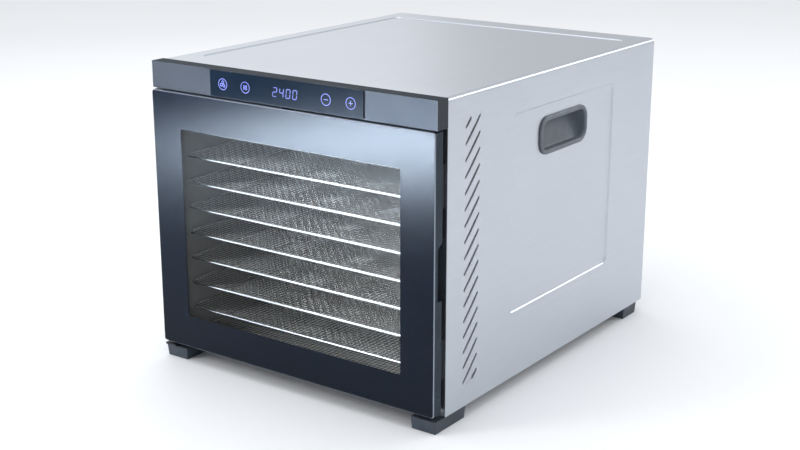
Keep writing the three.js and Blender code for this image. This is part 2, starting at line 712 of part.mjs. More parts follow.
/** The frame behind the glass. */
function doorFrameGeometry() {
  const [frontY, backY] = DOOR_FRAME_Y;
  const section = outline([
    [-DOOR_X, frontY],
    [DOOR_X, frontY],
    [DOOR_X, backY - DOOR_CHAMFER],
    [DOOR_X - DOOR_CHAMFER, backY],
    [DOOR_CHAMFER - DOOR_X, backY],
    [-DOOR_X, backY - DOOR_CHAMFER],
  ]);
  const hole = roundedRect(both(DOOR_HOLE_X), DOOR_HOLE_Z, DOOR_HOLE_CORNER);
  const pins = DOOR_Z.map((z) => (
    barZ(HINGE_PLACE, PIN_CLEAR, about(z, 2 * (PIN_IN_DOOR + GAP)), 12)
  ));
  const pocketY = [MAGNET_Y[0] - GAP, backY + PASS];
  const magnets = Object.values(CATCH_MIDDLES_Z).map((z) => (
    block(wider(CATCH_X, GAP), pocketY, about(z, CATCH_HEIGHT + 2 * GAP))
  ));
  const frame = alongZ(section, DOOR_Z);
  return cut(frame, alongY(hole, wider(DOOR_FRAME_Y, PASS)), gripTool(), ...pins, ...magnets);
}

/** A door magnet or the iron plate that it meets, at the given height. */
function catchGeometry(ys, z) {
  return block(CATCH_X, ys, about(z, CATCH_HEIGHT));
}

/** The soft seal around the chamber's mouth, between the front frame and the door. */
function sealGeometry() {
  const ys = [DOOR_BACK_Y + GAP, FRONT_Y + FRAME_DEPTH - GAP];
  const [outerCorner, innerCorner] = SEAL_CORNERS;
  const outside = roundedRect(both(SEAL_X[1]), [SEAL_BOTTOM_Z[0], SEAL_TOP_Z[1]], outerCorner);
  const inside = roundedRect(both(SEAL_X[0]), [SEAL_BOTTOM_Z[1], SEAL_TOP_Z[0]], innerCorner);
  return cut(alongY(outside, ys), alongY(inside, wider(ys, PASS)));
}

const HINGE_PLACE = [HINGE_X, HINGE_Y];
const BRACKET_Z = [FOOT_HEIGHT, FOOT_HEIGHT + BRACKET_SHEET];

/** A flanged bush about the hinge axis, between two heights, with its flange at one end. */
function bushGeometry(tubeZ, flangeZ) {
  const tube = barZ(HINGE_PLACE, BUSH_RADIUS, tubeZ);
  const flange = barZ(HINGE_PLACE, BUSH_FLANGE_RADIUS, flangeZ);
  return cut(join(tube, flange), barZ(HINGE_PLACE, PIN_CLEAR, wider(tubeZ, PASS), 12));
}

/** The bush in the control strip, with its flange towards the door. */
function upperBushGeometry() {
  const bottom = DOOR_Z[1] + BUSH_DOOR_GAP;
  return bushGeometry([bottom, UPPER_BUSH_TOP_Z], [bottom, bottom + BUSH_FLANGE]);
}

/** The bush in the bracket, with its flange towards the door. */
function lowerBushGeometry() {
  const top = BRACKET_Z[1] + GAP + BUSH_FLANGE;
  return bushGeometry([FOOT_HEIGHT, top], [top - BUSH_FLANGE, top]);
}

/** A hinge pin between two heights. */
function hingePinGeometry(zs) {
  return barZ(HINGE_PLACE, PIN_RADIUS, zs, 12);
}

/** The angle bracket under the door that holds the lower bush. */
function hingeBracketGeometry() {
  const backY = FRONT_Y - GAP;
  const arm = block(BRACKET_ARM_X, [FRONT_Y - BRACKET_ARM_REACH, backY], BRACKET_Z);
  const flangeZ = [FOOT_HEIGHT, BRACKET_FLANGE_TOP_Z];
  const flange = block(BRACKET_FLANGE_X, [backY - SHEET, backY], flangeZ);
  const hole = barZ(HINGE_PLACE, BUSH_RADIUS + GAP, wider(BRACKET_Z, PASS));
  return cut(join(arm, flange), hole);
}

// ---- Fan, motor and heater ----

/** The fan about its own axis, which lies along Y: pitched blades on a hub. */
function fanGeometry() {
  const { corner, half, straight } = BLADE_TIP;
  const blade = new THREE.Shape();
  blade.moveTo(BLADE_ROOT.radius, -BLADE_ROOT.half);
  blade.lineTo(FAN_RADIUS - corner, -half);
  blade.quadraticCurveTo(FAN_RADIUS, -half, FAN_RADIUS, -straight);
  blade.lineTo(FAN_RADIUS, straight);
  blade.quadraticCurveTo(FAN_RADIUS, half, FAN_RADIUS - corner, half);
  blade.lineTo(BLADE_ROOT.radius, BLADE_ROOT.half);
  const flat = alongZ(blade, both(BLADE_SHEET / 2)).rotateX(BLADE_PITCH);
  const hub = barY([0, 0], FAN_HUB_RADIUS, both(HUB_HALF), 20);
  const blades = Array.from({ length: FAN_BLADES }, (_, i) => (
    flat.clone().rotateY((i / FAN_BLADES) * 2 * Math.PI)
  ));
  return cut(join(hub, ...blades), barY([0, 0], SHAFT_RADIUS + GAP, both(HUB_HALF + PASS)));
}

/** A range of heights above the fan's axis, as places on Z. */
function aboveAxis(heights) {
  return heights.map((height) => FAN_Z + height);
}

/** A ring along Y about the fan's axis. */
function ringGeometry(outer, inner, ys) {
  return cut(barY([0, FAN_Z], outer, ys, 24), barY([0, FAN_Z], inner, wider(ys, PASS)));
}

/** The motor's laminated iron, with a bore for the rotor and a window for the coil. */
function statorGeometry() {
  const ys = about(MOTOR_Y, STATOR_THICKNESS);
  const through = wider(ys, PASS);
  const iron = block(both(STATOR_X), ys, aboveAxis(STATOR_ABOVE_AXIS));
  const bore = barY([0, FAN_Z], ROTOR_RADIUS + ROTOR_AIR_GAP, through, 24);
  const { half, above } = STATOR_WINDOW;
  return cut(iron, bore, block(both(half), through, aboveAxis(above)));
}

/** The motor's coil, wound around the iron above the window. */
function coilGeometry() {
  const outside = block(both(COIL.half), about(MOTOR_Y, COIL.depth), aboveAxis(COIL.above));
  const ys = about(MOTOR_Y, STATOR_THICKNESS + 2 * GAP);
  return cut(outside, block(both(COIL.half + PASS), ys, aboveAxis(COIL_HOLE_ABOVE)));
}

/** A strap across the motor's front or rear that holds a bearing, with its pairs of posts. */
function motorBracketGeometry(end) {
  const strapY = behindFront(BRACKET_STRAPS[end]);
  const strap = block(both(STATOR_X), strapY, about(FAN_Z, BRACKET_STRAP_HEIGHT));
  const posts = BRACKET_POSTS[end].flatMap((depths) => [-1, 1].map((side) => (
    block(onSide(side, BRACKET_POST_X), behindFront(depths), about(FAN_Z, BRACKET_POST_HEIGHT))
  )));
  const hole = barY([0, FAN_Z], BEARING_RADIUS + GAP, wider(strapY, PASS));
  return cut(join(strap, ...posts), hole);
}

/** A motor bearing, at the front or rear. */
function bearingGeometry(end) {
  return ringGeometry(BEARING_RADIUS, SHAFT_RADIUS + GAP, behindFront(BEARINGS[end]));
}

/** The sheathed heater: nearly a full ring around the fan, with two legs back through the plate. */
function heaterGeometry() {
  const lowestZ = FAN_Z - HEATER_RADIUS;
  const leg = (side) => HEATER_LEG_BACK.map((back) => (
    new THREE.Vector3(side * HEATER_LEG_X, HEATER_Y + back, lowestZ)
  ));
  const ring = Array.from({ length: HEATER_RING_POINTS + 1 }, (_, i) => {
    const turned = (i / HEATER_RING_POINTS) * 2 * (Math.PI - HEATER_OPEN_ANGLE);
    const angle = -Math.PI / 2 - HEATER_OPEN_ANGLE - turned;
    return new THREE.Vector3(
      HEATER_RADIUS * Math.cos(angle),
      HEATER_Y,
      FAN_Z + HEATER_RADIUS * Math.sin(angle),
    );
  });
  const path = new THREE.CatmullRomCurve3([...leg(-1), ...ring, ...leg(1).reverse()]);
  const tube = new THREE.Shape().absarc(0, 0, HEATER_TUBE, 0, 2 * Math.PI);
  return new THREE.ExtrudeGeometry(tube, { extrudePath: path, steps: 48, curveSegments: 4 });
}

/** The sensor that hangs from the ceiling behind the baffle, with its clip. */
function sensorGeometry() {
  const place = [SENSOR.x, FRONT_Y + SENSOR.depth];
  const top = CHAMBER_Z[1] - GAP;
  const probe = barZ(place, SENSOR.radius, [SENSOR.bottomZ, top], 12);
  return join(probe, barZ(place, SENSOR.clipRadius, [top - SENSOR.clip, top], 12));
}

/** The thermal cut-out on the back of the duct's plate, with its two ears. */
function cutoutGeometry() {
  const nearY = FRONT_Y + DUCT_DEPTH + 2 * GAP + SHEET;
  const z = FAN_Z + CUTOUT.above;
  const earZ = about(z, CUTOUT.earHeight);
  const ears = block(about(CUTOUT.x, CUTOUT.ears), [nearY, nearY + CUTOUT.ear], earZ);
  return join(ears, barY([CUTOUT.x, z], CUTOUT.radius, [nearY, nearY + CUTOUT.height]));
}

/** The power board on posts above the chamber, with its transformer, relay and capacitor. */
function powerBoardGeometry() {
  const standZ = CHAMBER_Z[1] + SHEET + GAP;
  const bottomZ = standZ + POWER_STAND;
  const topZ = bottomZ + BOARD_SHEET;
  const board = block(POWER_X, behindFront(POWER_DEPTHS), [bottomZ, topZ]);
  const postDepths = wider(POWER_DEPTHS, -POWER_POST_INSET);
  const posts = wider(POWER_X, -POWER_POST_INSET).flatMap((x) => postDepths.map((depth) => (
    barZ([x, FRONT_Y + depth], POWER_POST_RADIUS, [standZ, bottomZ + SINK], 8)
  )));
  const parts = [TRANSFORMER, RELAY, TERMINALS].map(({ xs, depths, height }) => (
    block(xs, behindFront(depths), [topZ - SINK, topZ + height])
  ));
  const { x, depth, radius, height } = CAPACITOR;
  const capacitor = barZ([x, FRONT_Y + depth], radius, [topZ - SINK, topZ + height]);
  return join(board, ...posts, ...parts, capacitor);
}

// ---- Assembly ----

const casing = new THREE.Group().add(
  piece('outer_cover', coverGeometry(), CABINET_STEEL),
  piece('front_frame', frontFrameGeometry(), CABINET_STEEL),
  piece('base_plate', basePlateGeometry(), ZINC_STEEL),
  piece('rear_panel', rearPanelGeometry(), CABINET_STEEL),
  piece('rear_fan_cover', rearCoverGeometry(), FOOT_BLACK),
  piece('power_inlet', inletGeometry(), INLET_BLACK),
  ...feet(),
  ...REAR_SCREWS.map(([x, z], i) => (
    piece(`rear_screw_${i + 1}`, rearScrewGeometry(), ZINC_STEEL, [x, 0, z])
  )),
);

const pocketPlace = [SIDE_X, FRONT_Y + POCKET_DEPTH, POCKET_Z];
const leftPocket = piece('carry_pocket_left', pocketGeometry(), POCKET_GREY, pocketPlace);
leftPocket.position.x = -SIDE_X;
leftPocket.rotation.z = Math.PI;
casing.add(leftPocket, piece('carry_pocket_right', pocketGeometry(), POCKET_GREY, pocketPlace));

const controls = new THREE.Group().add(
  piece('control_bezel', bezelGeometry(), BEZEL_GREY),
  piece('touch_panel', touchPanelGeometry(), TOUCH_BLACK),
  piece('control_board', controlBoardGeometry(), BOARD_GREEN),
  piece('display_module', displayGeometry(), DISPLAY_DARK),
  piece('power_board', powerBoardGeometry(), BOARD_GREEN),
);

const chamber = new THREE.Group().add(
  piece('chamber_wall_left', chamberWallGeometry(-1), CHAMBER_STEEL),
  piece('chamber_wall_right', chamberWallGeometry(1), CHAMBER_STEEL),
  piece('chamber_floor', chamberSlabGeometry(CHAMBER_Z[0] - SHEET), CHAMBER_STEEL),
  piece('chamber_ceiling', chamberSlabGeometry(CHAMBER_Z[1]), CHAMBER_STEEL),
  piece('rear_baffle', baffleGeometry(), CHAMBER_STEEL),
  piece('duct_back_plate', ductPlateGeometry(), ZINC_STEEL),
  piece('door_seal', sealGeometry(), SEAL_BLACK),
  piece('heating_element', heaterGeometry(), HEATER_ALLOY),
  piece('temperature_sensor', sensorGeometry(), ZINC_STEEL),
  piece('thermal_cutout', cutoutGeometry(), SEAL_BLACK),
  ...trays(),
);

const motor = new THREE.Group().add(
  piece('motor_stator', statorGeometry(), MOTOR_IRON),
  piece('motor_coil', coilGeometry(), MOTOR_COPPER),
  piece('motor_bracket_front', motorBracketGeometry('front'), ZINC_STEEL),
  piece('motor_bracket_rear', motorBracketGeometry('rear'), ZINC_STEEL),
  piece('motor_bearing_front', bearingGeometry('front'), BEARING_BRONZE),
  piece('motor_bearing_rear', bearingGeometry('rear'), BEARING_BRONZE),
);

const rotorY = about(MOTOR_Y, ROTOR_THICKNESS);
const shaftY = behindFront(SHAFT_DEPTHS);
const fan = new THREE.Group().add(
  piece('fan_wheel', fanGeometry(), FAN_ALUMINIUM, [0, FAN_Y, FAN_Z]),
  piece('motor_shaft', barY([0, FAN_Z], SHAFT_RADIUS, shaftY), ZINC_STEEL),
  piece('motor_rotor', ringGeometry(ROTOR_RADIUS, SHAFT_RADIUS + GAP, rotorY), MOTOR_IRON),
);

const catches = Object.entries(CATCH_MIDDLES_Z);
const hinge = new THREE.Group().add(
  piece('hinge_bracket', hingeBracketGeometry(), ZINC_STEEL),
  piece('hinge_bush_upper', upperBushGeometry(), HINGE_NYLON),
  piece('hinge_bush_lower', lowerBushGeometry(), HINGE_NYLON),
  ...catches.map(([name, z]) => (
    piece(`catch_plate_${name}`, catchGeometry(behindFront(CATCH_DEPTH), z), ZINC_STEEL)
  )),
);

const upperPinZ = [DOOR_Z[1] - PIN_IN_DOOR, PIN_TOP_Z];
const lowerPinZ = [FOOT_HEIGHT, DOOR_Z[0] + PIN_IN_DOOR];
const door = new THREE.Group().add(
  piece('door_frame', doorFrameGeometry(), DOOR_BLACK),
  piece('door_glass', glassGeometry(), DOOR_GLASS),
  piece('hinge_pin_upper', hingePinGeometry(upperPinZ), ZINC_STEEL),
  piece('hinge_pin_lower', hingePinGeometry(lowerPinZ), ZINC_STEEL),
  ...catches.map(([name, z]) => (
    piece(`door_magnet_${name}`, catchGeometry(MAGNET_Y, z), CATCH_IRON)
  )),
);

const dehydrator = new THREE.Group().add(casing, controls, chamber, motor, fan, hinge, door);

export default dehydrator;
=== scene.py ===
"""Looks for a countertop food dehydrator: steel cabinet, glass door, wire trays and touch strip.

Every size that the frame holds is read from it. All lengths below are in metres.
"""

import json
import math

import bmesh
import bpy
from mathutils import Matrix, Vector


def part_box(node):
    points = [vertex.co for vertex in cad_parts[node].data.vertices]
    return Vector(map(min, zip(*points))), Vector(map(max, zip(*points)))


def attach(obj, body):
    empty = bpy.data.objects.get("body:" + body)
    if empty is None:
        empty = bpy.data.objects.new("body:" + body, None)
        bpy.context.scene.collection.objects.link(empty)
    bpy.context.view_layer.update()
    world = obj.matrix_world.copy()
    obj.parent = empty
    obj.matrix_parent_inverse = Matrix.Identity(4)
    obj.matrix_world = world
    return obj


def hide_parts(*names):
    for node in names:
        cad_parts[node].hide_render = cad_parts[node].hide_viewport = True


bl_info = {
    "name": "Food Dehydrator",
    "version": (1, 0, 0),
    "blender": (4, 5, 0),
    "location": "View3D > Sidebar > Dehydrator",
    "description": "Builds the surfaces of a food dehydrator around its packed frame",
    "category": "Object",
}

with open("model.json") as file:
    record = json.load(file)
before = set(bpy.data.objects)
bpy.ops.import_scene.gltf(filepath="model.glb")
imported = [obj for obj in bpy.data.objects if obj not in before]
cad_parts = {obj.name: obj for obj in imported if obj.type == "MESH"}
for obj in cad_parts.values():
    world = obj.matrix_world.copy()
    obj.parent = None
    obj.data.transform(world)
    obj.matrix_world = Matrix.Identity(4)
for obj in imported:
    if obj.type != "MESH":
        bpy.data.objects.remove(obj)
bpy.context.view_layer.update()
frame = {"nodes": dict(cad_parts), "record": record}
NODES = frame["nodes"]
MM = 0.001

CABINET = "cabinet"
DOOR = "door"
TRAYS = sorted(name for name in NODES if name.startswith("tray_"))

COVER_LOW, COVER_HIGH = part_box("outer_cover")
GLASS_LOW, GLASS_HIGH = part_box("door_glass")
TOUCH_LOW, TOUCH_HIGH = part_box("touch_panel")


# ---- Settings that a user may change ----

class DehydratorFinishes(bpy.types.PropertyGroup):
    """Colours and wear of the finishes."""

    steel: bpy.props.FloatVectorProperty(
        name="Steel", description="Colour of the brushed cabinet", subtype="COLOR",
        size=3, min=0, max=1, default=(0.525, 0.555, 0.60))
    strip: bpy.props.FloatVectorProperty(
        name="Control strip", description="Colour of the strip above the door",
        subtype="COLOR", size=3, min=0, max=1, default=(0.056, 0.060, 0.068))
    border: bpy.props.FloatVectorProperty(
        name="Door border", description="Colour of the print on the door glass",
        subtype="COLOR", size=3, min=0, max=1, default=(0.004, 0.008, 0.016))
    glow: bpy.props.FloatVectorProperty(
        name="Key light", description="Colour of the lit keys", subtype="COLOR",
        size=3, min=0, max=1, default=(0.17, 0.20, 0.62))
    wear: bpy.props.FloatProperty(
        name="Edge wear", description="How far rubbed edges turn paler", subtype="FACTOR",
        default=0.35, min=0, max=1)
    dust: bpy.props.FloatProperty(
        name="Dust", description="How much dust lies on faces that look up",
        subtype="FACTOR", default=0.05, min=0, max=1)


class DehydratorSheet(bpy.types.PropertyGroup):
    """Pressed shapes of the steel cover."""

    panel_depth: bpy.props.FloatProperty(
        name="Panel depth", description="How deep the side and top panels are pressed in",
        subtype="DISTANCE", unit="LENGTH", default=1.2 * MM, min=0)
    panel_step: bpy.props.FloatProperty(
        name="Panel step", description="Width of the slope around a pressed panel",
        subtype="DISTANCE", unit="LENGTH", default=2.0 * MM, min=0.2 * MM)
    lip_height: bpy.props.FloatProperty(
        name="Vent lip", description="How far the lip of a vent stands out",
        subtype="DISTANCE", unit="LENGTH", default=0.9 * MM, min=0)


class DehydratorTrays(bpy.types.PropertyGroup):
    """Wire sizes of the trays."""

    mesh_wire: bpy.props.FloatProperty(
        name="Mesh wire", description="Diameter of the wires across a tray",
        subtype="DISTANCE", unit="LENGTH", default=0.75 * MM, min=0.3 * MM)
    mesh_pitch: bpy.props.FloatProperty(
        name="Mesh pitch", description="Distance from one mesh wire to the next",
        subtype="DISTANCE", unit="LENGTH", default=5.0 * MM, min=2 * MM)


class DehydratorStage(bpy.types.PropertyGroup):
    """Camera and light."""

    camera_place: bpy.props.FloatVectorProperty(
        name="Camera place", description="Where the camera stands", subtype="TRANSLATION",
        unit="LENGTH", size=3, default=(0.8314, -1.1926, 0.5544))
    camera_turn: bpy.props.FloatProperty(
        name="Camera turn", description="Turn to the left from looking straight back",
        subtype="ANGLE", unit="ROTATION", default=math.radians(35.77))
    camera_tilt: bpy.props.FloatProperty(
        name="Camera tilt", description="Tilt below the horizon", subtype="ANGLE",
        unit="ROTATION", default=math.radians(16.65))
    camera_lens: bpy.props.FloatProperty(
        name="Lens", description="Focal length on a 36 mm sensor", unit="CAMERA",
        default=62.5, min=1)
    room_low: bpy.props.FloatProperty(
        name="Room light, low", description="Strength of the light from the horizon",
        default=0.62, min=0)
    room_high: bpy.props.FloatProperty(
        name="Room light, high", description="Strength of the light from overhead",
        default=0.95, min=0)


# ---- Mesh helpers ----

def finish_mesh(bm, name, smooth_angle):
    """A mesh from bmesh data, smooth except where it turns by more than the angle."""
    mesh = bpy.data.meshes.new(name)
    bm.normal_update()
    bm.to_mesh(mesh)
    bm.free()
    mesh.polygons.foreach_set("use_smooth", [True] * len(mesh.polygons))
    mesh.set_sharp_from_angle(angle=math.radians(smooth_angle))
    return mesh


def linked(name, data):
    """A new object in the scene."""
    made = bpy.data.objects.new(name, data)
    bpy.context.scene.collection.objects.link(made)
    return made


def add_piece(name, mesh, material, body):
    """Links a mesh as a piece that rides on a body."""
    mesh.materials.append(material)
    piece = linked(name, mesh)
    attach(piece, body)
    return piece


def settled(piece):
    """Replaces a piece's mesh with what its modifiers make of it."""
    depsgraph = bpy.context.evaluated_depsgraph_get()
    mesh = bpy.data.meshes.new_from_object(piece.evaluated_get(depsgraph))
    piece.modifiers.clear()
    piece.data = mesh


def carve(piece, tool, use_self=False):
    """Cuts a tool's shape out of a piece, and removes the tool."""
    cut = piece.modifiers.new("Cut", "BOOLEAN")
    cut.operation = "DIFFERENCE"
    cut.solver = "EXACT"
    cut.use_self = use_self
    cut.object = tool
    settled(piece)
    bpy.data.objects.remove(tool)


def corner_ring(half_u, half_v, radius, steps=8):
    """Points of a rounded rectangle about the origin, counter-clockwise."""
    points = []
    for turn, (su, sv) in enumerate(((1, -1), (1, 1), (-1, 1), (-1, -1))):
        centre = (su * (half_u - radius), sv * (half_v - radius))
        for step in range(steps + 1):
            angle = math.radians(turn * 90 - 90 + 90 * step / steps)
            points.append((centre[0] + radius * math.cos(angle),
                           centre[1] + radius * math.sin(angle)))
    return points


def add_loop(bm, points):
    return [bm.verts.new(point) for point in points]


def bridge(bm, first, second):
    """Quads between two closed loops of the same length."""
    count = len(first)
    for i in range(count):
        j = (i + 1) % count
        bm.faces.new((first[i], first[j], second[j], second[i]))


def tube(bm, path, radius, sides=10, closed=False):
    """A round tube along points, with flat ends unless it is closed."""
    rings = []
    count = len(path)
    for i, point in enumerate(path):
        before = path[i - 1] if i or closed else point
        after = path[(i + 1) % count] if i < count - 1 or closed else point
        along = (Vector(after) - Vector(before)).normalized()
        side = along.orthogonal() if abs(along.z) > 0.9 else along.cross(Vector((0, 0, 1)))
        side.normalize()
        up = side.cross(along)
        ring = []
        for k in range(sides):
            angle = 2 * math.pi * (k + 0.5) / sides
            ring.append(Vector(point) + radius * (math.cos(angle) * side + math.sin(angle) * up))
        rings.append(add_loop(bm, ring))
    for first, second in zip(rings, rings[1:]):
        bridge(bm, first, second)
    if closed:
        bridge(bm, rings[-1], rings[0])
    else:
        bm.faces.new(list(reversed(rings[0])))
        bm.faces.new(rings[-1])


def slab(bm, outline, low, high, place):
    """A closed slab: an outline in two directions, from low to high along the third."""
    bottom = add_loop(bm, [place(u, v, low) for u, v in outline])
    top = add_loop(bm, [place(u, v, high) for u, v in outline])
    bridge(bm, bottom, top)
    bm.faces.new(list(reversed(bottom)))
    bm.faces.new(top)


def outward(bm):
    bmesh.ops.recalc_face_normals(bm, faces=bm.faces[:])


# ---- Shader node groups, each built once ----

def fill(tree, made, values):
    """Links a node's inputs to sockets, and sets those given as plain values."""
    for key, value in values.items():
        if isinstance(value, bpy.types.NodeSocket):
            tree.links.new(value, made.inputs[key])
        else:
            made.inputs[key].default_value = value


def node(tree, kind, values=None, **settings):
    """Adds a node with its settings and its inputs."""
    made = tree.nodes.new(kind)
    for key, value in settings.items():
        setattr(made, key, value)
    fill(tree, made, values or {})
    return made


def maths(tree, operation, *values):
    return node(tree, "ShaderNodeMath", dict(enumerate(values)), operation=operation).outputs[0]


def spread(tree, value, low, high, to_low, to_high):
    """A value mapped from one range to another, held at the ends."""
    return node(tree, "ShaderNodeMapRange", {
        "Value": value, "From Min": low, "From Max": high,
        "To Min": to_low, "To Max": to_high}).outputs[0]


def noise(tree, vector, scale, detail=3.0, roughness=0.5):
    return node(tree, "ShaderNodeTexNoise", {
        "Vector": vector, "Scale": scale, "Detail": detail,
        "Roughness": roughness}).outputs[0]


def new_group(name, inputs, outputs):
    """An empty shader node group with its sockets, and its input and output nodes."""
    group = bpy.data.node_groups.new(name, "ShaderNodeTree")
    for socket, (kind, default) in inputs.items():
        made = group.interface.new_socket(name=socket, in_out="INPUT", socket_type=kind)
        made.default_value = default
    for socket, kind in outputs.items():
        group.interface.new_socket(name=socket, in_out="OUTPUT", socket_type=kind)
    return group, group.nodes.new("NodeGroupInput"), group.nodes.new("NodeGroupOutput")


def brushed_group():
    """Fine lines along one direction, with slow changes of tone over the sheet."""
    group, given, out = new_group(
        "Brushed Lines",
        {"Stretch": ("NodeSocketVector", (900.0, 12.0, 900.0))},
        {"Tone": "NodeSocketFloat", "Height": "NodeSocketFloat"})
    place = node(group, "ShaderNodeTexCoord").outputs["Object"]
    stretched = node(group, "ShaderNodeVectorMath", {0: place, 1: given.outputs["Stretch"]},
                     operation="MULTIPLY").outputs[0]
    fine = noise(group, stretched, 1.0, 4.0, 0.6)
    cloud = noise(group, place, 9.0, 2.0)
    tone = maths(group, "ADD", maths(group, "MULTIPLY", fine, 0.7),
                 maths(group, "MULTIPLY", cloud, 0.3))
    group.links.new(tone, out.inputs["Tone"])
    group.links.new(fine, out.inputs["Height"])
    return group


def moulded_group():
    """The fine leathery grain of moulded plastic and rubber."""
    group, given, out = new_group(
        "Moulded Grain", {"Scale": ("NodeSocketFloat", 1800.0)},
        {"Tone": "NodeSocketFloat", "Height": "NodeSocketFloat"})
    place = node(group, "ShaderNodeTexCoord").outputs["Object"]
    cells = node(group, "ShaderNodeTexVoronoi", {
        "Vector": place, "Scale": given.outputs["Scale"]}).outputs["Distance"]
    group.links.new(noise(group, place, 40.0, 3.0), out.inputs["Tone"])
    group.links.new(cells, out.inputs["Height"])
    return group


def wear_group():
    """Where an edge has been rubbed: a mask from how the surface bends, broken by noise."""
    group, given, out = new_group(
        "Edge Wear", {"Radius": ("NodeSocketFloat", 0.5 * MM)}, {"Mask": "NodeSocketFloat"})
    bent = node(group, "ShaderNodeBevel", {"Radius": given.outputs["Radius"]}, samples=4)
    straight = node(group, "ShaderNodeNewGeometry").outputs["Normal"]
    same = node(group, "ShaderNodeVectorMath", {0: bent.outputs[0], 1: straight},
                operation="DOT_PRODUCT").outputs["Value"]
    place = node(group, "ShaderNodeTexCoord").outputs["Object"]
    broken = spread(group, noise(group, place, 160.0, 4.0), 0.35, 0.65, 0.2, 1.0)
    edge = spread(group, same, 0.995, 0.85, 0.0, 1.0)
    group.links.new(maths(group, "MULTIPLY", edge, broken), out.inputs["Mask"])
    return group


def dust_group():
    """Thin dust on faces that look up."""
    group, given, out = new_group(
        "Settled Dust", {"Amount": ("NodeSocketFloat", 0.1)}, {"Mask": "NodeSocketFloat"})
    facing = node(group, "ShaderNodeSeparateXYZ", {
        0: node(group, "ShaderNodeNewGeometry").outputs["Normal"]}).outputs["Z"]
    place = node(group, "ShaderNodeTexCoord").outputs["Object"]
    patch = spread(group, noise(group, place, 55.0, 6.0, 0.7), 0.4, 0.7, 0.2, 1.0)
    up = spread(group, facing, 0.3, 1.0, 0.0, 1.0)
    mask = maths(group, "MULTIPLY", maths(group, "MULTIPLY", patch, up), given.outputs["Amount"])
    group.links.new(mask, out.inputs["Mask"])
    return group


def smear_group():
    """Slow wipe marks on polished faces, as a change of roughness."""
    group, given, out = new_group(
        "Wipe Marks",
        {"Smooth": ("NodeSocketFloat", 0.03), "Smeared": ("NodeSocketFloat", 0.09)},
        {"Roughness": "NodeSocketFloat"})
    place = node(group, "ShaderNodeTexCoord").outputs["Object"]
    wiped = node(group, "ShaderNodeVectorMath", {0: place, 1: (6.0, 6.0, 22.0)},
                 operation="MULTIPLY").outputs[0]
    marks = spread(group, noise(group, wiped, 1.6, 5.0, 0.6), 0.4, 0.7, 0.0, 1.0)
    gap = maths(group, "SUBTRACT", given.outputs["Smeared"], given.outputs["Smooth"])
    rough = maths(group, "ADD", given.outputs["Smooth"], maths(group, "MULTIPLY", marks, gap))
    group.links.new(rough, out.inputs["Roughness"])
    return group


GROUP_MAKERS = {
    "Brushed Lines": brushed_group,
    "Moulded Grain": moulded_group,
    "Edge Wear": wear_group,
    "Settled Dust": dust_group,
    "Wipe Marks": smear_group,
}


def use_group(tree, name, values=None):
    """Places a shared group in a material, building it the first time."""
    group = bpy.data.node_groups.get(name) or GROUP_MAKERS[name]()
    return node(tree, "ShaderNodeGroup", values, node_tree=group)


def blend_colour(tree, share, first, second):
    """A mix of two colours, each a socket or three numbers."""
    values = {0: share}
    for index, colour in ((6, first), (7, second)):
        is_socket = isinstance(colour, bpy.types.NodeSocket)
        values[index] = colour if is_socket else (*colour, 1.0)
    return node(tree, "ShaderNodeMix", values, data_type="RGBA").outputs[2]


# ---- Finishes ----

ALONG_Y = (900.0, 14.0, 900.0)
ALONG_X = (14.0, 900.0, 900.0)

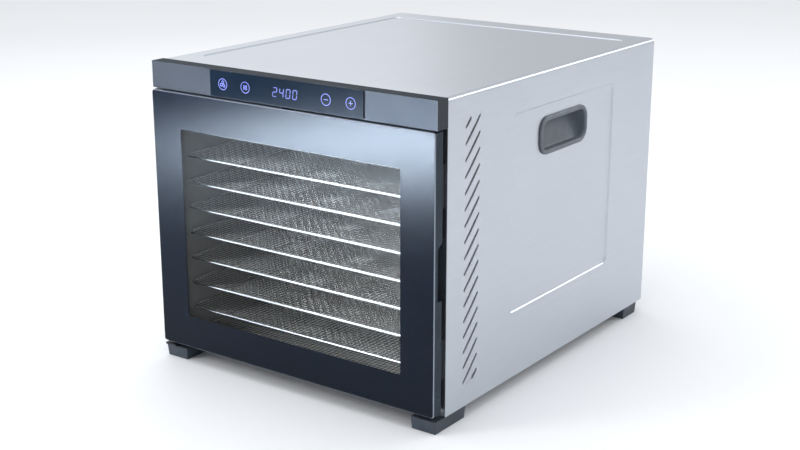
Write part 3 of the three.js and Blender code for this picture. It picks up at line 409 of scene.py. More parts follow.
# name: colour, metal, roughness, texture, its height, tone range, wear, coat, dusty
FINISHES = {
    "steel_wrap": (None, 1.0, 0.36, ALONG_Y, 0.012, 0.03, 0.3, 0.0, True),
    "zinc_plate": ((0.52, 0.53, 0.55), 0.9, 0.45, ALONG_X, 0.05, 0.2, 0.4, 0.0, True),
    "chamber_steel": ((0.30, 0.285, 0.27), 1.0, 0.34, ALONG_Y, 0.05, 0.18, 0.3, 0.0, False),
    # the rim wire is painted brighter than its steel as a painted highlight; the mesh wire below is
    # the same steel painted darker as painted shade
    "tray_wire": ((0.90, 0.91, 0.93), 1.0, 0.16, ALONG_X, 0.01, 0.08, 0.0, 0.0, False),
    "mesh_wire": ((0.46, 0.45, 0.44), 1.0, 0.20, ALONG_X, 0.01, 0.10, 0.0, 0.0, False),
    "ground_edge": ((0.26, 0.30, 0.36), 0.7, 0.32, ALONG_X, 0.01, 0.06, 0.0, 0.0, False),
    "black_moulding": ((0.030, 0.042, 0.060), 0.0, 0.48, "Moulded Grain", 0.12, 0.35, 0.6, 0.0, True),
    "door_moulding": ((0.010, 0.020, 0.032), 0.0, 0.30, "Moulded Grain", 0.03, 0.3, 0.3, 0.0, False),
    # dark plate: on the hinge parts their black plate, on the catch plates painted shade for the dark
    # gap they sit in
    "black_plate_and_gap_shade": ((0.03, 0.034, 0.04), 0.6, 0.45, ALONG_X, 0.03, 0.2, 0.2, 0.0, False),
    "pocket_moulding": ((0.105, 0.125, 0.15), 0.0, 0.40, "Moulded Grain", 0.10, 0.2, 0.4, 0.0, True),
    "strip_paint": (None, 0.18, 0.30, "Moulded Grain", 0.02, 0.02, 0.5, 0.0, False),
    "board_resist": ((0.015, 0.10, 0.045), 0.0, 0.40, "Moulded Grain", 0.02, 0.3, 0.1, 0.3, False),
    "display_body": ((0.012, 0.014, 0.022), 0.0, 0.20, "Moulded Grain", 0.01, 0.2, 0.1, 0.4, False),
    "seal_rubber": ((0.008, 0.009, 0.011), 0.0, 0.75, "Moulded Grain", 0.15, 0.3, 0.1, 0.0, True),
    "heater_sheath": ((0.11, 0.095, 0.085), 0.9, 0.42, "Moulded Grain", 0.05, 0.5, 0.3, 0.0, False),
    "fan_sheet": ((0.66, 0.67, 0.69), 1.0, 0.34, ALONG_X, 0.06, 0.15, 0.4, 0.0, False),
    "motor_stack": ((0.07, 0.07, 0.075), 0.8, 0.50, (80.0, 2600.0, 80.0), 0.25, 0.3, 0.4, 0.2, False),
    "coil_wire": ((0.42, 0.15, 0.055), 0.9, 0.30, (30.0, 1400.0, 30.0), 0.35, 0.3, 0.2, 0.4, False),
    "bearing_bronze": ((0.40, 0.27, 0.12), 0.9, 0.35, ALONG_X, 0.04, 0.2, 0.4, 0.0, False),
    "bush_nylon": ((0.10, 0.10, 0.10), 0.0, 0.45, "Moulded Grain", 0.03, 0.12, 0.1, 0.0, True),
    "magnet_iron": ((0.20, 0.20, 0.21), 0.9, 0.42, ALONG_X, 0.05, 0.25, 0.4, 0.0, False),
}

SLOT_FINISH = {
    "cabinet_steel": "steel_wrap", "zinc_steel": "zinc_plate",
    "chamber_steel": "chamber_steel", "tray_steel": "tray_wire",
    "black_plastic": "black_moulding", "pocket_plastic": "pocket_moulding",
    "bezel_plastic": "strip_paint", "circuit_board": "board_resist",
    "display_plastic": "display_body", "seal_rubber": "seal_rubber",
    "heater_alloy": "heater_sheath", "fan_aluminium": "fan_sheet",
    "motor_iron": "motor_stack", "motor_copper": "coil_wire",
    "bearing_bronze": "bearing_bronze", "hinge_nylon": "bush_nylon",
}

# by whether the surface is metal
WEAR_COLOUR = {True: (0.86, 0.88, 0.91), False: (0.20, 0.22, 0.25)}
DUST_COLOUR = (0.55, 0.54, 0.52)
DUST_ROUGHNESS = 0.3
# colour of the control strip's faces that look up
UPWARD_FACE_COLOUR = (0.007, 0.014, 0.022)
# surfaces that shine less than bare plastic does
LOW_SHINE = {"strip_paint": 0.01, "door_moulding": 0.15}
# tones of the textures between which a finish goes from its dark to its light colour
TONE_RANGE = (0.3, 0.7)
ROUGHNESS_REACH = 0.12
BUMP_HEIGHT = 0.2 * MM
COAT_ROUGHNESS = 0.08


def blank_material(name):
    """A new node material, with its tree and its Principled node."""
    material = bpy.data.materials.new(name)
    material.use_nodes = True
    tree = material.node_tree
    return material, tree, tree.nodes["Principled BSDF"]


def dark_upward_faces(tree, shown, metal):
    """Colour and metal share of a finish whose faces that look up are dark and not metallic."""
    facing = node(tree, "ShaderNodeSeparateXYZ", {
        0: node(tree, "ShaderNodeNewGeometry").outputs["Normal"]}).outputs["Z"]
    top = spread(tree, facing, 0.75, 0.9, 0.0, 1.0)
    return blend_colour(tree, top, shown, UPWARD_FACE_COLOUR), spread(tree, top, 0.0, 1.0, metal, 0.0)


def get_finish(name):
    """A finish from the table, built the first time it is asked for."""
    found = bpy.data.materials.get(name)
    if found:
        return found
    settings = bpy.context.scene.dehydrator_finishes
    colour, metal, rough, texture, height, tone, wear, coat, dusty = FINISHES[name]
    if colour is None:
        colour = tuple({"steel_wrap": settings.steel, "strip_paint": settings.strip}[name])
    material, tree, principled = blank_material(name)
    if isinstance(texture, str):
        grain = use_group(tree, texture)
    else:
        grain = use_group(tree, "Brushed Lines", {"Stretch": texture})
    dark = tuple(c * (1 - tone) for c in colour)
    light = tuple(min(1, c * (1 + tone)) for c in colour)
    share = spread(tree, grain.outputs["Tone"], *TONE_RANGE, 0.0, 1.0)
    shown = blend_colour(tree, share, dark, light)
    reach = min(ROUGHNESS_REACH, 2 * tone)
    roughness = spread(tree, grain.outputs["Tone"], *TONE_RANGE,
                       rough * (1 + reach), rough * (1 - reach))
    if wear:
        rubbed = use_group(tree, "Edge Wear").outputs["Mask"]
        amount = maths(tree, "MULTIPLY", rubbed, wear * settings.wear)
        shown = blend_colour(tree, amount, shown, WEAR_COLOUR[metal > 0.5])
    if dusty:
        dust = use_group(tree, "Settled Dust", {"Amount": settings.dust}).outputs["Mask"]
        shown = blend_colour(tree, dust, shown, DUST_COLOUR)
        roughness = maths(tree, "ADD", roughness, maths(tree, "MULTIPLY", dust, DUST_ROUGHNESS))
    # the strip's faces that look up turn dark and not metallic
    if name == "strip_paint":
        shown, metal = dark_upward_faces(tree, shown, metal)
    bump = node(tree, "ShaderNodeBump", {
        "Height": grain.outputs["Height"], "Strength": height, "Distance": BUMP_HEIGHT})
    fill(tree, principled, {
        "Base Color": shown, "Metallic": metal, "Roughness": roughness,
        "Normal": bump.outputs[0], "Coat Weight": coat, "Coat Roughness": COAT_ROUGHNESS})
    if name in LOW_SHINE:
        principled.inputs["Specular IOR Level"].default_value = LOW_SHINE[name]
    return material


def polished_dark(name, colour, smooth, smeared, shine):
    """A polished dark surface with wipe marks."""
    material, tree, principled = blank_material(name)
    marks = use_group(tree, "Wipe Marks", {"Smooth": smooth, "Smeared": smeared})
    grain = use_group(tree, "Moulded Grain")
    shown = blend_colour(tree, grain.outputs["Tone"], tuple(c * 0.85 for c in colour),
                         tuple(c * 1.15 for c in colour))
    fill(tree, principled, {"Base Color": shown, "Roughness": marks.outputs[0],
                            "Specular IOR Level": shine})
    return material


def clear_glass():
    """Clear pane with wipe marks, which lets lamps light what is behind it."""
    material, tree, principled = blank_material("door_pane_glass")
    marks = use_group(tree, "Wipe Marks", {"Smooth": 0.0, "Smeared": 1.0})
    tint = blend_colour(tree, marks.outputs[0], (0.94, 0.97, 0.98), (0.91, 0.94, 0.955))
    fill(tree, principled, {
        "Base Color": tint, "Roughness": 0.0, "Transmission Weight": 1.0, "IOR": 1.16})
    lamps = node(tree, "ShaderNodeLightPath").outputs["Is Shadow Ray"]
    through = node(tree, "ShaderNodeBsdfTransparent", {"Color": (0.93, 0.96, 0.97, 1)})
    mixed = node(tree, "ShaderNodeMixShader", {
        0: lamps, 1: principled.outputs[0], 2: through.outputs[0]})
    tree.links.new(mixed.outputs[0], tree.nodes["Material Output"].inputs["Surface"])
    return material


def lit_mark(name, strength):
    """The pale light of the keys and digits, a little uneven behind the panel."""
    settings = bpy.context.scene.dehydrator_finishes
    material, tree, principled = blank_material(name)
    colour = tuple(settings.glow)
    grain = use_group(tree, "Moulded Grain")
    shown = blend_colour(tree, grain.outputs["Tone"], tuple(c * 0.75 for c in colour), colour)
    fill(tree, principled, {"Base Color": shown, "Emission Color": shown,
                            "Emission Strength": strength, "Roughness": 0.3})
    return material


# ---- Pieces ----

def raise_without(names):
    """Stops with a plain message if the frame lacks a node that an operator needs."""
    missing = [name for name in names if name not in NODES]
    if missing:
        raise RuntimeError(f"the packed frame has no node named {missing}")


class DEHYDRATOR_OT_finish_frame(bpy.types.Operator):
    """Gives each frame node its finish and soft edges"""

    bl_idname = "dehydrator.finish_frame"
    bl_label = "Finish the frame"

    # bevel width of each slot's nodes, in millimetres
    EDGES = {"bezel_plastic": 0.7, "black_plastic": 0.8, "zinc_steel": 0.25,
             "chamber_steel": 0.15, "touch_glass": 0.2, "circuit_board": 0.15,
             "display_plastic": 0.2, "motor_iron": 0.3, "motor_copper": 1.5}
    # nodes whose finish differs from the others in their slot
    SPECIAL = {"door_magnet_upper": "magnet_iron", "door_magnet_lower": "magnet_iron",
               "door_frame": "door_moulding", "hinge_bracket": "black_plate_and_gap_shade",
               # the catch plates take the dark plate as painted shade for the dark gap they sit in
               "catch_plate_upper": "black_plate_and_gap_shade", "catch_plate_lower": "black_plate_and_gap_shade",
               "hinge_pin_lower": "black_plate_and_gap_shade"}

    def execute(self, context):
        slots = {part["node"]: part["material_slot"] for part in frame["record"]["subparts"]}
        raise_without(slots)
        for name, slot in slots.items():
            cad = NODES[name]
            if slot == "door_glass":
                finish = clear_glass()
            elif slot == "touch_glass":
                finish = polished_dark("touch_glass", (0.006, 0.012, 0.022), 0.05, 0.12, 0.03)
            else:
                finish = get_finish(SLOT_FINISH[slot])
            cad.data.materials.clear()
            cad.data.materials.append(finish)
            self.soften(cad, self.EDGES.get(slot, 0))
        for name, finish in self.SPECIAL.items():
            NODES[name].data.materials.clear()
            NODES[name].data.materials.append(get_finish(finish))
        return {"FINISHED"}

    @staticmethod
    def soften(cad, width):
        """Joins the node's split corners, then rounds its edges."""
        weld = cad.modifiers.new("Join corners", "WELD")
        weld.merge_threshold = 0.005 * MM
        flat = cad.modifiers.new("Flat faces", "DECIMATE")
        flat.decimate_type = "DISSOLVE"
        flat.angle_limit = math.radians(0.5)
        if width:
            bevel = cad.modifiers.new("Soft edges", "BEVEL")
            bevel.width = width * MM
            bevel.segments = 2
            bevel.limit_method = "ANGLE"
            bevel.angle_limit = math.radians(40)
            bevel.harden_normals = True


class DEHYDRATOR_OT_cover(bpy.types.Operator):
    """Builds the folded steel cover with its pressed panels, vents and pocket holes"""

    bl_idname = "dehydrator.cover"
    bl_label = "Build the cover"

    BEND = 4 * MM
    BEND_STEPS = 8
    SHEET = 1 * MM
    # middle and half size of each pressed panel, and its corner radius
    SIDE_PANEL = ((3.5 * MM, 181.4 * MM), (102.7 * MM, 100 * MM), 9 * MM)
    TOP_PANEL = ((0.0, -3.4 * MM), (153 * MM, 171 * MM), 8 * MM)
    # vents: first line, pitch, count, front end, run, half width, and their limits in height
    VENT_FIRST = 21.5 * MM
    VENT_PITCH = 15.4 * MM
    VENT_COUNT = 18
    VENT_FRONT = 28.3 * MM
    VENT_RUN = 24 * MM
    VENT_HALF = 1.2 * MM
    VENT_LIMITS = (37 * MM, 292 * MM)
    # the pocket's hole: how far inside the pocket's outline, and its corner radius
    HOLE_INSET = 3 * MM
    HOLE_CORNER = 11 * MM
    LIP_WIDTH = 2.4 * MM
    LIP_STEPS = 12
    # section of a lip: share of its width, and height as a share of the lip's
    LIP_SECTION = ((0, -0.5), (0, 0.9), (0.12, 1.0), (0.4, 0.72), (0.75, 0.22), (1, -0.06),
                   (1, -0.5))

    def execute(self, context):
        raise_without(["outer_cover", "carry_pocket_right"])
        sheet = context.scene.dehydrator_sheet
        finish = get_finish("steel_wrap")
        bm = bmesh.new()
        half = COVER_HIGH.x
        bend_x, bend_z = half - self.BEND, COVER_HIGH.z - self.BEND
        low_z, front, rear = COVER_LOW.z, COVER_LOW.y, COVER_HIGH.y
        for side in (1, -1):
            self.face(bm, lambda u, v, w, s=side: (s * (half + w), u, v),
                      (front, rear, low_z, bend_z), self.SIDE_PANEL, sheet)
            self.bend(bm, side, bend_x, bend_z, front, rear)
        self.face(bm, lambda u, v, w: (u, v, COVER_HIGH.z + w),
                  (-bend_x, bend_x, front, rear), self.TOP_PANEL, sheet)
        bmesh.ops.remove_doubles(bm, verts=bm.verts[:], dist=0.01 * MM)
        outward(bm)
        top = max(bm.faces, key=lambda f: f.calc_area() * (f.calc_center_median().z > bend_z))
        if top.normal.z < 0:
            bmesh.ops.reverse_faces(bm, faces=bm.faces[:])
        cover = add_piece("cover_sheet", finish_mesh(bm, "cover_sheet", 40), finish,
                          CABINET)
        thick = cover.modifiers.new("Sheet", "SOLIDIFY")
        thick.thickness = self.SHEET
        thick.offset = -1
        settled(cover)
        carve(cover, self.cutter())
        flat = cover.modifiers.new("Even shade", "WEIGHTED_NORMAL")
        flat.keep_sharp = True
        flat.weight = 100
        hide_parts("outer_cover")
        for side, name in ((1, "right"), (-1, "left")):
            self.lips(side, name, sheet.lip_height, finish)
        return {"FINISHED"}

    def face(self, bm, place, bounds, panel, sheet):
        """A flat side of the cover with a panel pressed into it."""
        u0, u1, v0, v1 = bounds
        (mu, mv), (hu, hv), radius = panel
        edge = add_loop(bm, [place(u, v, 0) for u, v in
                             ((u0, v0), (u1, v0), (u1, v1), (u0, v1))])
        guard = 0.5 * MM
        steps = [(guard, 0.0)]
        for i in range(7):
            share = i / 6
            steps.append((-share * sheet.panel_step,
                          -sheet.panel_depth * share * share * (3 - 2 * share)))
        steps.append((-sheet.panel_step - guard, -sheet.panel_depth))
        loops = []
        for offset, depth in steps:
            ring = corner_ring(hu + offset, hv + offset, radius + offset)
            loops.append(add_loop(bm, [place(mu + u, mv + v, depth) for u, v in ring]))
        for first, second in zip(loops, loops[1:]):
            bridge(bm, first, second)
        bm.faces.new(loops[-1])
        self.fill_around(bm, edge, loops[0])

    @staticmethod
    def fill_around(bm, edge, ring):
        """Fills the flat sheet between its four corners and the panel's outline."""
        quarter = len(ring) // 4
        for i in range(4):
            corner, after = edge[i], edge[(i + 1) % 4]
            # the ring's quarter that lies at the corner after this one
            start = i * quarter
            arc = [ring[(start + k) % len(ring)] for k in range(quarter)]
            for first, second in zip(arc, arc[1:]):
                bm.faces.new((after, second, first))
            last_before = ring[(start - 1) % len(ring)]
            bm.faces.new((corner, after, arc[0], last_before))

    def bend(self, bm, side, bend_x, bend_z, front, rear):
        """The round fold between a side and the top."""
        rows = []
        for step in range(self.BEND_STEPS + 1):
            angle = 0.5 * math.pi * step / self.BEND_STEPS
            x = side * (bend_x + self.BEND * math.cos(angle))
            z = bend_z + self.BEND * math.sin(angle)
            rows.append((bm.verts.new((x, front, z)), bm.verts.new((x, rear, z))))
        for (a, b), (c, d) in zip(rows, rows[1:]):
            bm.faces.new((a, b, d, c))

    def vents(self):
        """Start and end of each vent, in depth and height."""
        for i in range(self.VENT_COUNT):
            line = self.VENT_FIRST + i * self.VENT_PITCH
            start = max(0.0, self.VENT_LIMITS[0] - line)
            end = min(self.VENT_RUN, self.VENT_LIMITS[1] - line)
            y = COVER_LOW.y + self.VENT_FRONT
            yield (y + start, line + start), (y + end, line + end)

    def cutter(self):
        """The shapes that cut the vents and the pocket holes."""
        bm = bmesh.new()
        reach = COVER_HIGH.x + 5 * MM
        inner = COVER_HIGH.x - 6 * MM
        for side in (1, -1):
            def place(u, v, w, s=side):
                return (s * w, u, v)
            for (y0, z0), (y1, z1) in self.vents():
                h = self.VENT_HALF
                slab(bm, [(y0, z0 - h), (y1, z1 - h), (y1, z1 + h), (y0, z0 + h)],
                     inner, reach, place)
            low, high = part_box("carry_pocket_right")
            middle_y, middle_z = (low.y + high.y) / 2, (low.z + high.z) / 2
            ring = corner_ring((high.y - low.y) / 2 - self.HOLE_INSET,
                               (high.z - low.z) / 2 - self.HOLE_INSET, self.HOLE_CORNER)
            slab(bm, [(middle_y + u, middle_z + v) for u, v in ring], inner, reach, place)
        outward(bm)
        return linked("cover_cutter", finish_mesh(bm, "cover_cutter", 30))

    def lips(self, side, name, height, finish):
        """The raised lip along the lower rear edge of each vent."""
        bm = bmesh.new()
        across = Vector((0, 1, -1)).normalized()
        for (y0, z0), (y1, z1) in self.vents():
            rows = []
            for i in range(self.LIP_STEPS + 1):
                share = i / self.LIP_STEPS
                rise = height * math.sin(math.pi * min(max(share, 0.04), 0.96)) ** 0.4
                base = Vector((0, y0 + (y1 - y0) * share, z0 + (z1 - z0) * share))
                base += across * self.VENT_HALF * 0.72
                row = []
                for along, lift in self.LIP_SECTION:
                    out = rise * lift if lift > 0 else lift * 0.4 * MM
                    point = base + across * self.LIP_WIDTH * along
                    row.append(bm.verts.new((side * (COVER_HIGH.x + out), point.y, point.z)))
                rows.append(row)
            for first, second in zip(rows, rows[1:]):
                bridge(bm, first, second)
            bm.faces.new(rows[0])
            bm.faces.new(list(reversed(rows[-1])))
        outward(bm)
        add_piece(f"vent_lips_{name}", finish_mesh(bm, f"vent_lips_{name}", 50), finish,
                  CABINET)


class DEHYDRATOR_OT_pockets(bpy.types.Operator):
    """Builds the two carrying pockets with their round rims and sloped scoops"""

    bl_idname = "dehydrator.pockets"
    bl_label = "Build the carrying pockets"

    CORNER = 14 * MM
    # how far in from the outline, and how far out from the sheet, in millimetres
    RIM = ((0.0, -1.0), (0.0, 0.15), (0.35, 0.75), (1.1, 1.15), (2.3, 1.3), (3.4, 1.15),
           (4.1, 0.7), (4.5, 0.0), (4.7, -1.2))
    # the round edge of the scoop's floor: how far in, and how far above the floor
    FLOOR_EDGE = ((4.9, 0.9), (5.1, 0.35), (5.6, 0.08), (6.4, 0.0))
    WALL = 1 * MM
    TOP_DEPTH = 16.5 * MM
    BOTTOM_DEPTH = 4 * MM

    def execute(self, context):
        raise_without(["carry_pocket_right", "carry_pocket_left"])
        for side, name in ((1, "right"), (-1, "left")):
            self.build(side, f"carry_pocket_{name}")
        return {"FINISHED"}

    def build(self, side, cad_name):
        low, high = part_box(cad_name)
        half_y, half_z = (high.y - low.y) / 2, (high.z - low.z) / 2
        middle_y, middle_z = (high.y + low.y) / 2, (high.z + low.z) / 2
        bm = bmesh.new()

        def loop(inset, depth):
            ring = corner_ring(half_y - inset, half_z - inset, self.CORNER - inset, 10)
            return add_loop(bm, [(side * (COVER_HIGH.x + depth(v)), middle_y + u, middle_z + v)
                                 for u, v in ring])

        def floor(v, above=0.0):
            share = (v + half_z) / (2 * half_z)
            depth = self.BOTTOM_DEPTH + (self.TOP_DEPTH - self.BOTTOM_DEPTH) * share
            return above - depth

        loops = [loop(inset * MM, lambda v, w=out: w * MM) for inset, out in self.RIM]
        for inset, above in self.FLOOR_EDGE:
            loops.append(loop(inset * MM, lambda v, a=above: floor(v, a * MM)))
        for first, second in zip(loops, loops[1:]):
            bridge(bm, first, second)
        bm.faces.new(loops[-1])
        outward(bm)
        floor_face = max(bm.faces, key=lambda f: len(f.verts))
        if floor_face.normal.x * side < 0:
            bmesh.ops.reverse_faces(bm, faces=bm.faces[:])
        pocket = add_piece(f"{cad_name}_shell", finish_mesh(bm, cad_name, 50),
                           get_finish("pocket_moulding"), CABINET)
        thick = pocket.modifiers.new("Wall", "SOLIDIFY")
        thick.thickness = self.WALL
        thick.offset = -1
        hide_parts(cad_name)


class DEHYDRATOR_OT_trays(bpy.types.Operator):
    """Builds each tray as a round wire rim with crossed mesh wires"""

    bl_idname = "dehydrator.trays"
    bl_label = "Build the trays"

    RIM_CORNER = 8.5 * MM
    # how far a mesh wire swings up and down, as a share of its radius
    WEAVE = 0.8

    def execute(self, context):
        raise_without(TRAYS)
        settings = context.scene.dehydrator_trays
        finish = get_finish("tray_wire")
        first_low, first_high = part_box(TRAYS[0])
        mesh = self.tray_mesh(first_low, first_high, settings)
        # the rim takes the painted-bright wire and the mesh the painted-dark wire, lit and shaded
        # copies of one steel
        mesh.materials.append(finish)
        mesh.materials.append(get_finish("mesh_wire"))
        for name in TRAYS:
            low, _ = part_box(name)
            tray = linked(f"{name}_wire", mesh)
            tray.location = low - first_low
            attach(tray, f"{name}_body")
            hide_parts(name)
        return {"FINISHED"}

    def tray_mesh(self, low, high, settings):
        """One tray's mesh: the rim in its first material, painted bright as a highlight, and the
        wires in its second, the same steel painted dark as shade.
        """
        bar = (high.z - low.z) / 2
        centre = (low + high) / 2
        half_x, half_y = (high.x - low.x) / 2 - bar, (high.y - low.y) / 2 - bar
        bm = bmesh.new()
        ring = corner_ring(half_x, half_y, self.RIM_CORNER, 6)
        tube(bm, [(centre.x + u, centre.y + v, centre.z) for u, v in ring], bar, 14, True)
        rim_faces = len(bm.faces)
        radius = settings.mesh_wire / 2
        across, along = (int(2 * half / settings.mesh_pitch) for half in (half_x, half_y))
        for axis, reach, span, count, crossings in (
                (0, half_x, half_y, along, across), (1, half_y, half_x, across, along)):
            for i in range(1, count):
                side = -span + i * 2 * span / count
                points = []
                for k in range(2 * crossings + 1):
                    u = -reach + k * reach / crossings
                    # over and under the wires that cross, halfway between them level
                    wave = 0 if k % 2 else (1 if (k // 2 + i + axis) % 2 else -1)
                    x, y = (u, side) if axis == 0 else (side, u)
                    points.append((centre.x + x, centre.y + y,
                                   centre.z + wave * self.WEAVE * radius))
                tube(bm, points, radius, 5)
        for face in bm.faces[rim_faces:]:
            face.material_index = 1
        return finish_mesh(bm, "wire_tray", 75)


class DEHYDRATOR_OT_door(bpy.types.Operator):
    """Builds the print on the door's glass and the skins on the glass's edges"""

    bl_idname = "dehydrator.door"
    bl_label = "Build the door's print"

    # half width, bottom and top of the clear window
    WINDOW = (134.5 * MM, 53 * MM, 250 * MM)
    # the print: corner radii outside and at the window, inset, and how far its faces stand off
    CORNERS = (2.6 * MM, 2.2 * MM)
    PRINT_INSET = 0.9 * MM
    PRINT_FACES = (0.08 * MM, 0.02 * MM)
    SKIN = 0.03 * MM
    BEVEL = 0.8 * MM
    GLASS_CORNER = 3 * MM

    def execute(self, context):
        raise_without(["door_glass"])
        settings = context.scene.dehydrator_finishes
        finish = polished_dark("door_print", tuple(settings.border), 0.05, 0.10, 0.12)
        half_x, low_z, high_z = self.WINDOW
        inset = self.PRINT_INSET
        glass_z = (GLASS_HIGH.z + GLASS_LOW.z) / 2
        outside = [(u, glass_z + v) for u, v in corner_ring(
            GLASS_HIGH.x - inset, (GLASS_HIGH.z - GLASS_LOW.z) / 2 - inset, self.CORNERS[0])]
        inside = [(u, (low_z + high_z) / 2 + v) for u, v in corner_ring(
            half_x, (high_z - low_z) / 2, self.CORNERS[1])]
        bm = bmesh.new()
        loops = []
        for away in self.PRINT_FACES:
            loops.append([add_loop(bm, [(x, GLASS_LOW.y - away, z) for x, z in ring])
                          for ring in (outside, inside)])
        (front_out, front_in), (back_out, back_in) = loops
        bridge(bm, front_out, front_in)
        bridge(bm, back_in, back_out)
        bridge(bm, front_in, back_in)
        bridge(bm, back_out, front_out)
        outward(bm)
        add_piece("door_print", finish_mesh(bm, "door_print", 30), finish, DOOR)
        front, back = GLASS_LOW.y, GLASS_HIGH.y
        bevel = self.BEVEL
        self.edge("door_glass_bevel", "ground_edge",
                  [(-bevel, front), (0.0, front + bevel)])
        self.edge("door_glass_side", "door_moulding",
                  [(0.0, front + bevel), (0.0, back)])
        return {"FINISHED"}

    def edge(self, name, finish, profile):
        """A thin skin on the edge of the glass, from points of reach past it and depth."""
        middle_z = (GLASS_HIGH.z + GLASS_LOW.z) / 2
        bm = bmesh.new()
        loops = []
        for lift, points in ((self.SKIN, profile), (-self.SKIN, reversed(profile))):
            for reach, y in points:
                ring = corner_ring(GLASS_HIGH.x + reach + lift,
                                   GLASS_HIGH.z - middle_z + reach + lift,
                                   self.GLASS_CORNER + reach + lift)
                away = -lift if y < GLASS_LOW.y + self.BEVEL / 2 else 0
                loops.append(add_loop(bm, [(u, y + away, middle_z + v) for u, v in ring]))
        for first, second in zip(loops, loops[1:] + loops[:1]):
            bridge(bm, first, second)
        outward(bm)
        add_piece(name, finish_mesh(bm, name, 30), get_finish(finish), DOOR)


class DEHYDRATOR_OT_controls(bpy.types.Operator):
    """Builds the lit keys and digits of the touch strip"""

    bl_idname = "dehydrator.controls"
    bl_label = "Build the controls"

    KEY_RADIUS = 5.3 * MM
    KEYS = {"fan": -76.6 * MM, "heat": -47.9 * MM, "less": 50.1 * MM, "more": 78.7 * MM}
    LINE = 0.55 * MM
    BAR = 0.7 * MM
    # half length of the lines of the plus and minus
    ARM = 2.4 * MM
    # the marks stand out of the panel's face by this, and reach into it by this
    PROUD, SUNK = 0.08 * MM, 0.05 * MM
    # which of the seven bars each digit lights: top, two upper, middle, two lower, bottom
    BARS = {"2": "1011101", "4": "0111010", "0": "1110111"}
    DIGITS = "2400"
    DIGITS_FROM = -13.2 * MM
    DIGIT_PITCH = 8.1 * MM
    DIGIT_SIZE = (4.6 * MM, 8.4 * MM)
    LEAN = 0.14

    def execute(self, context):
        raise_without(["touch_panel"])
        finish = lit_mark("key_light", 0.85)
        for name, x in self.KEYS.items():
            bm = bmesh.new()
            self.stroke(bm, [(x + u, v) for u, v in corner_ring(
                self.KEY_RADIUS, self.KEY_RADIUS, self.KEY_RADIUS, 10)], True)
            getattr(self, name)(bm, x)
            self.place(bm, f"key_{name}", finish)
        bm = bmesh.new()
        for i, digit in enumerate(self.DIGITS):
            self.digit(bm, self.DIGITS_FROM + i * self.DIGIT_PITCH, digit)
        self.place(bm, "display_digits", lit_mark("digit_light", 0.4))
        return {"FINISHED"}

    def place(self, bm, name, finish):
        outward(bm)
        add_piece(name, finish_mesh(bm, name, 30), finish, CABINET)

    def stroke(self, bm, points, closed=False, width=None):
        """A thin flat line along points on the panel's face."""
        half = (width or self.LINE) / 2
        count = len(points)
        left, right = [], []
        for i, point in enumerate(points):
            before = points[i - 1] if i or closed else point
            after = points[(i + 1) % count] if i < count - 1 or closed else point
            if (Vector(after) - Vector(before)).length < 1e-9:
                continue
            along = (Vector(after) - Vector(before)).normalized()
            side = Vector((-along.y, along.x)) * half
            left.append(Vector(point) + side)
            right.append(Vector(point) - side)
        front, back = TOUCH_LOW.y - self.PROUD, TOUCH_LOW.y + self.SUNK
        middle = (TOUCH_LOW.z + TOUCH_HIGH.z) / 2
        rails = [add_loop(bm, [(p.x, y, middle + p.y) for p in rail])
                 for rail, y in ((left, front), (right, front), (right, back), (left, back))]
        last = len(left) if closed else len(left) - 1
        for a, b in zip(rails, rails[1:] + rails[:1]):
            for i in range(last):
                j = (i + 1) % len(left)
                bm.faces.new((a[i], a[j], b[j], b[i]))
        if not closed:
            for end in (0, -1):
                bm.faces.new([rail[end] for rail in rails])

    def less(self, bm, x):
        self.stroke(bm, [(x - self.ARM, 0), (x + self.ARM, 0)])

    def more(self, bm, x):
        self.less(bm, x)
        self.stroke(bm, [(x, -self.ARM), (x, self.ARM)])

    def fan(self, bm, x):
        """Three curved blades."""
        for turn in range(3):
            start = math.radians(120 * turn + 30)
            arc = []
            for step in range(9):
                angle = start + step * 0.22
                reach = (0.5 + 2.9 * math.sin(math.pi * step / 8) ** 0.7) * MM
                arc.append((x + reach * math.cos(angle), reach * math.sin(angle)))
            self.stroke(bm, arc, width=self.BAR)

    def heat(self, bm, x):
        """Three rising waves."""
        for shift in (-1.7, 0.0, 1.7):
            wave = [(x + shift * MM + 0.45 * MM * math.sin(step * 0.9),
                     (step / 3.5 - 1.6) * 1.4 * MM) for step in range(12)]
            self.stroke(bm, wave, width=self.BAR)

    def digit(self, bm, x, digit):
        """A leaning seven-bar digit from its left edge."""
        width, height = self.DIGIT_SIZE
        gap = 0.35 * MM
        low, high = -height / 2, height / 2
        bars = (((0, high), (width, high)), ((0, high), (0, 0)), ((width, high), (width, 0)),
                ((0, 0), (width, 0)), ((0, 0), (0, low)), ((width, 0), (width, low)),
                ((0, low), (width, low)))
        for lit, (start, end) in zip(self.BARS[digit], bars):
            if lit == "0":
                continue
            along = (Vector(end) - Vector(start)).normalized() * gap
            ends = [Vector(start) + along, Vector(end) - along]
            self.stroke(bm, [(x + p.x + self.LEAN * p.y, p.y) for p in ends], width=self.BAR)


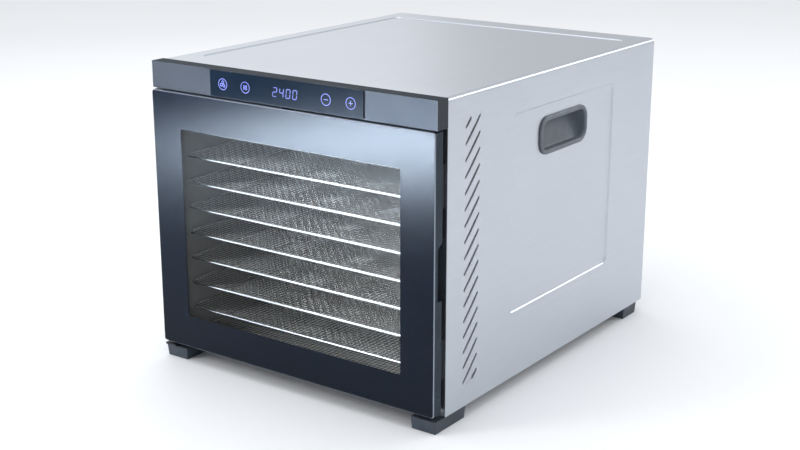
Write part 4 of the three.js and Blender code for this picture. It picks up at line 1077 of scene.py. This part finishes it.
class DEHYDRATOR_OT_rear(bpy.types.Operator):
    """Builds the rear panel's screws with domed heads and cross recesses"""

    bl_idname = "dehydrator.rear"
    bl_label = "Build the rear screws"

    # radius and height along the dome, in millimetres
    PROFILE = ((1.3, 1.95), (2.4, 1.6), (3.1, 1.0), (3.45, 0.4), (3.5, 0.0))
    HEAD_HEIGHT = 2 * MM
    SIDES = 28
    # the cross recess: half length and half width of an arm, and its bottom above the panel
    ARM = (1.9 * MM, 0.42 * MM)
    RECESS_BOTTOM = 0.9 * MM

    def execute(self, context):
        names = sorted(name for name in NODES if name.startswith("rear_screw_"))
        raise_without(names or ["rear_screw_1"])
        for name in names:
            low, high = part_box(name)
            middle = ((low.x + high.x) / 2, (low.z + high.z) / 2)
            head = self.head(name, middle, high.y - self.HEAD_HEIGHT)
            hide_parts(name)
        return {"FINISHED"}

    def head(self, name, middle, base_y):
        """A domed screw head with a cross cut into it."""
        bm = bmesh.new()
        angles = [2 * math.pi * k / self.SIDES for k in range(self.SIDES)]
        rings = []
        for radius, height in self.PROFILE:
            rings.append(add_loop(bm, [
                (middle[0] + radius * MM * math.cos(angle), base_y + height * MM,
                 middle[1] + radius * MM * math.sin(angle)) for angle in angles]))
        for first, second in zip(rings, rings[1:]):
            bridge(bm, first, second)
        bm.faces.new(rings[0])
        bm.faces.new(list(reversed(rings[-1])))
        outward(bm)
        screw = add_piece(f"{name}_head", finish_mesh(bm, name, 40), get_finish("zinc_plate"),
                          CABINET)
        cross = bmesh.new()
        for long, short in (self.ARM, self.ARM[::-1]):
            outline = [(-long, -short), (long, -short), (long, short), (-long, short)]
            slab(cross, [(middle[0] + u, middle[1] + v) for u, v in outline],
                 base_y + self.RECESS_BOTTOM, base_y + 3 * MM, lambda u, v, w: (u, w, v))
        outward(cross)
        carve(screw, linked("cross", finish_mesh(cross, "cross", 30)), use_self=True)
        return screw


class DEHYDRATOR_OT_stage(bpy.types.Operator):
    """Sets the floor, the light and the camera"""

    bl_idname = "dehydrator.stage"
    bl_label = "Set the stage"

    FLOOR_HALF = 9.0
    NEUTRAL = (0.97, 0.98, 1.0)
    COOL = (0.70, 0.83, 1.0)
    # name: place, what it points at, width and height, watts, spread in degrees, colour
    LAMPS = {
        "overhead": ((-0.2, -0.3, 2.1), (0, 0, 0.2), (2.2, 2.2), 19, 180, NEUTRAL),
        "front_pool": ((-0.55, -1.2, 0.32), (-0.55, -1.2, 0), (0.5, 0.5), 85, 120, COOL),
        "front_high": ((-0.9, -1.5, 1.1), (0, -0.1, 0.15), (0.5, 0.5), 9, 180, NEUTRAL),
        "right_high": ((1.3, 2.0, 1.2), (0.17, 0, 0.15), (0.7, 0.7), 10, 180, NEUTRAL),
        "rear_left": ((-1.45, 1.15, 1.1), (0, -0.2, 0.315), (1.2, 0.8), 2.2, 180, NEUTRAL),
    }

    def execute(self, context):
        self.floor()
        self.world(context)
        for name, lamp in self.LAMPS.items():
            self.lamp(name, *lamp)
        self.camera(context)
        context.scene.view_settings.view_transform = "Standard"
        return {"FINISHED"}

    def floor(self):
        bm = bmesh.new()
        bmesh.ops.create_grid(bm, x_segments=6, y_segments=6, size=self.FLOOR_HALF)
        floor = linked("floor", finish_mesh(bm, "floor", 30))
        material, tree, principled = blank_material("pale_floor")
        place = node(tree, "ShaderNodeTexCoord").outputs["Object"]
        shown = blend_colour(tree, noise(tree, place, 3.0), (0.88, 0.89, 0.90), (0.92, 0.93, 0.94))
        fill(tree, principled, {"Base Color": shown, "Roughness": 0.6})
        floor.data.materials.append(material)

    def world(self, context):
        world = bpy.data.worlds.new("studio")
        world.use_nodes = True
        tree = world.node_tree
        background = tree.nodes["Background"]
        background.inputs["Color"].default_value = (0.96, 0.975, 1.0, 1)
        up = node(tree, "ShaderNodeSeparateXYZ", {
            0: node(tree, "ShaderNodeTexCoord").outputs["Generated"]}).outputs["Z"]
        settings = context.scene.dehydrator_stage
        strength = spread(tree, up, 0.0, 0.9, settings.room_low, settings.room_high)
        tree.links.new(strength, background.inputs["Strength"])
        context.scene.world = world

    @staticmethod
    def aim(thing, place, target):
        thing.location = place
        thing.rotation_mode = "QUATERNION"
        thing.rotation_quaternion = (Vector(target) - Vector(place)).to_track_quat("-Z", "Y")

    def lamp(self, name, place, target, size, watts, spread_degrees, colour):
        light = bpy.data.lights.new(name, "AREA")
        light.shape = "RECTANGLE"
        light.size, light.size_y = size
        light.energy = watts
        light.color = colour
        light.spread = math.radians(spread_degrees)
        self.aim(linked(name, light), place, target)

    @staticmethod
    def camera(context):
        settings = context.scene.dehydrator_stage
        camera = linked("camera", bpy.data.cameras.new("camera"))
        camera.data.sensor_width = 36
        camera.data.lens = settings.camera_lens
        camera.data.clip_start = 0.05
        camera.location = settings.camera_place
        camera.rotation_euler = (math.pi / 2 - settings.camera_tilt, 0, settings.camera_turn)
        context.scene.camera = camera


OPERATORS = (
    DEHYDRATOR_OT_finish_frame,
    DEHYDRATOR_OT_cover,
    DEHYDRATOR_OT_pockets,
    DEHYDRATOR_OT_trays,
    DEHYDRATOR_OT_door,
    DEHYDRATOR_OT_controls,
    DEHYDRATOR_OT_rear,
    DEHYDRATOR_OT_stage,
)
SETTINGS = {
    "dehydrator_finishes": DehydratorFinishes,
    "dehydrator_sheet": DehydratorSheet,
    "dehydrator_trays": DehydratorTrays,
    "dehydrator_stage": DehydratorStage,
}


class DEHYDRATOR_PT_sidebar(bpy.types.Panel):
    """Lists the settings and the steps that build the dehydrator"""

    bl_idname = "DEHYDRATOR_PT_sidebar"
    bl_label = "Food Dehydrator"
    bl_space_type = "VIEW_3D"
    bl_region_type = "UI"
    bl_category = "Dehydrator"

    def draw(self, context):
        for key, group in SETTINGS.items():
            box = self.layout.box()
            for name in group.__annotations__:
                box.prop(getattr(context.scene, key), name)
        for operator in OPERATORS:
            self.layout.operator(operator.bl_idname)


CLASSES = (*SETTINGS.values(), *OPERATORS, DEHYDRATOR_PT_sidebar)


def register():
    for cls in CLASSES:
        bpy.utils.register_class(cls)
    for key, group in SETTINGS.items():
        setattr(bpy.types.Scene, key, bpy.props.PointerProperty(type=group))


def unregister():
    for key in SETTINGS:
        delattr(bpy.types.Scene, key)
    for cls in reversed(CLASSES):
        bpy.utils.unregister_class(cls)


def main():
    """Builds every piece in order."""
    register()
    for operator in OPERATORS:
        group, name = operator.bl_idname.split(".")
        getattr(getattr(bpy.ops, group), name)()


if __name__ == "__main__":
    main()
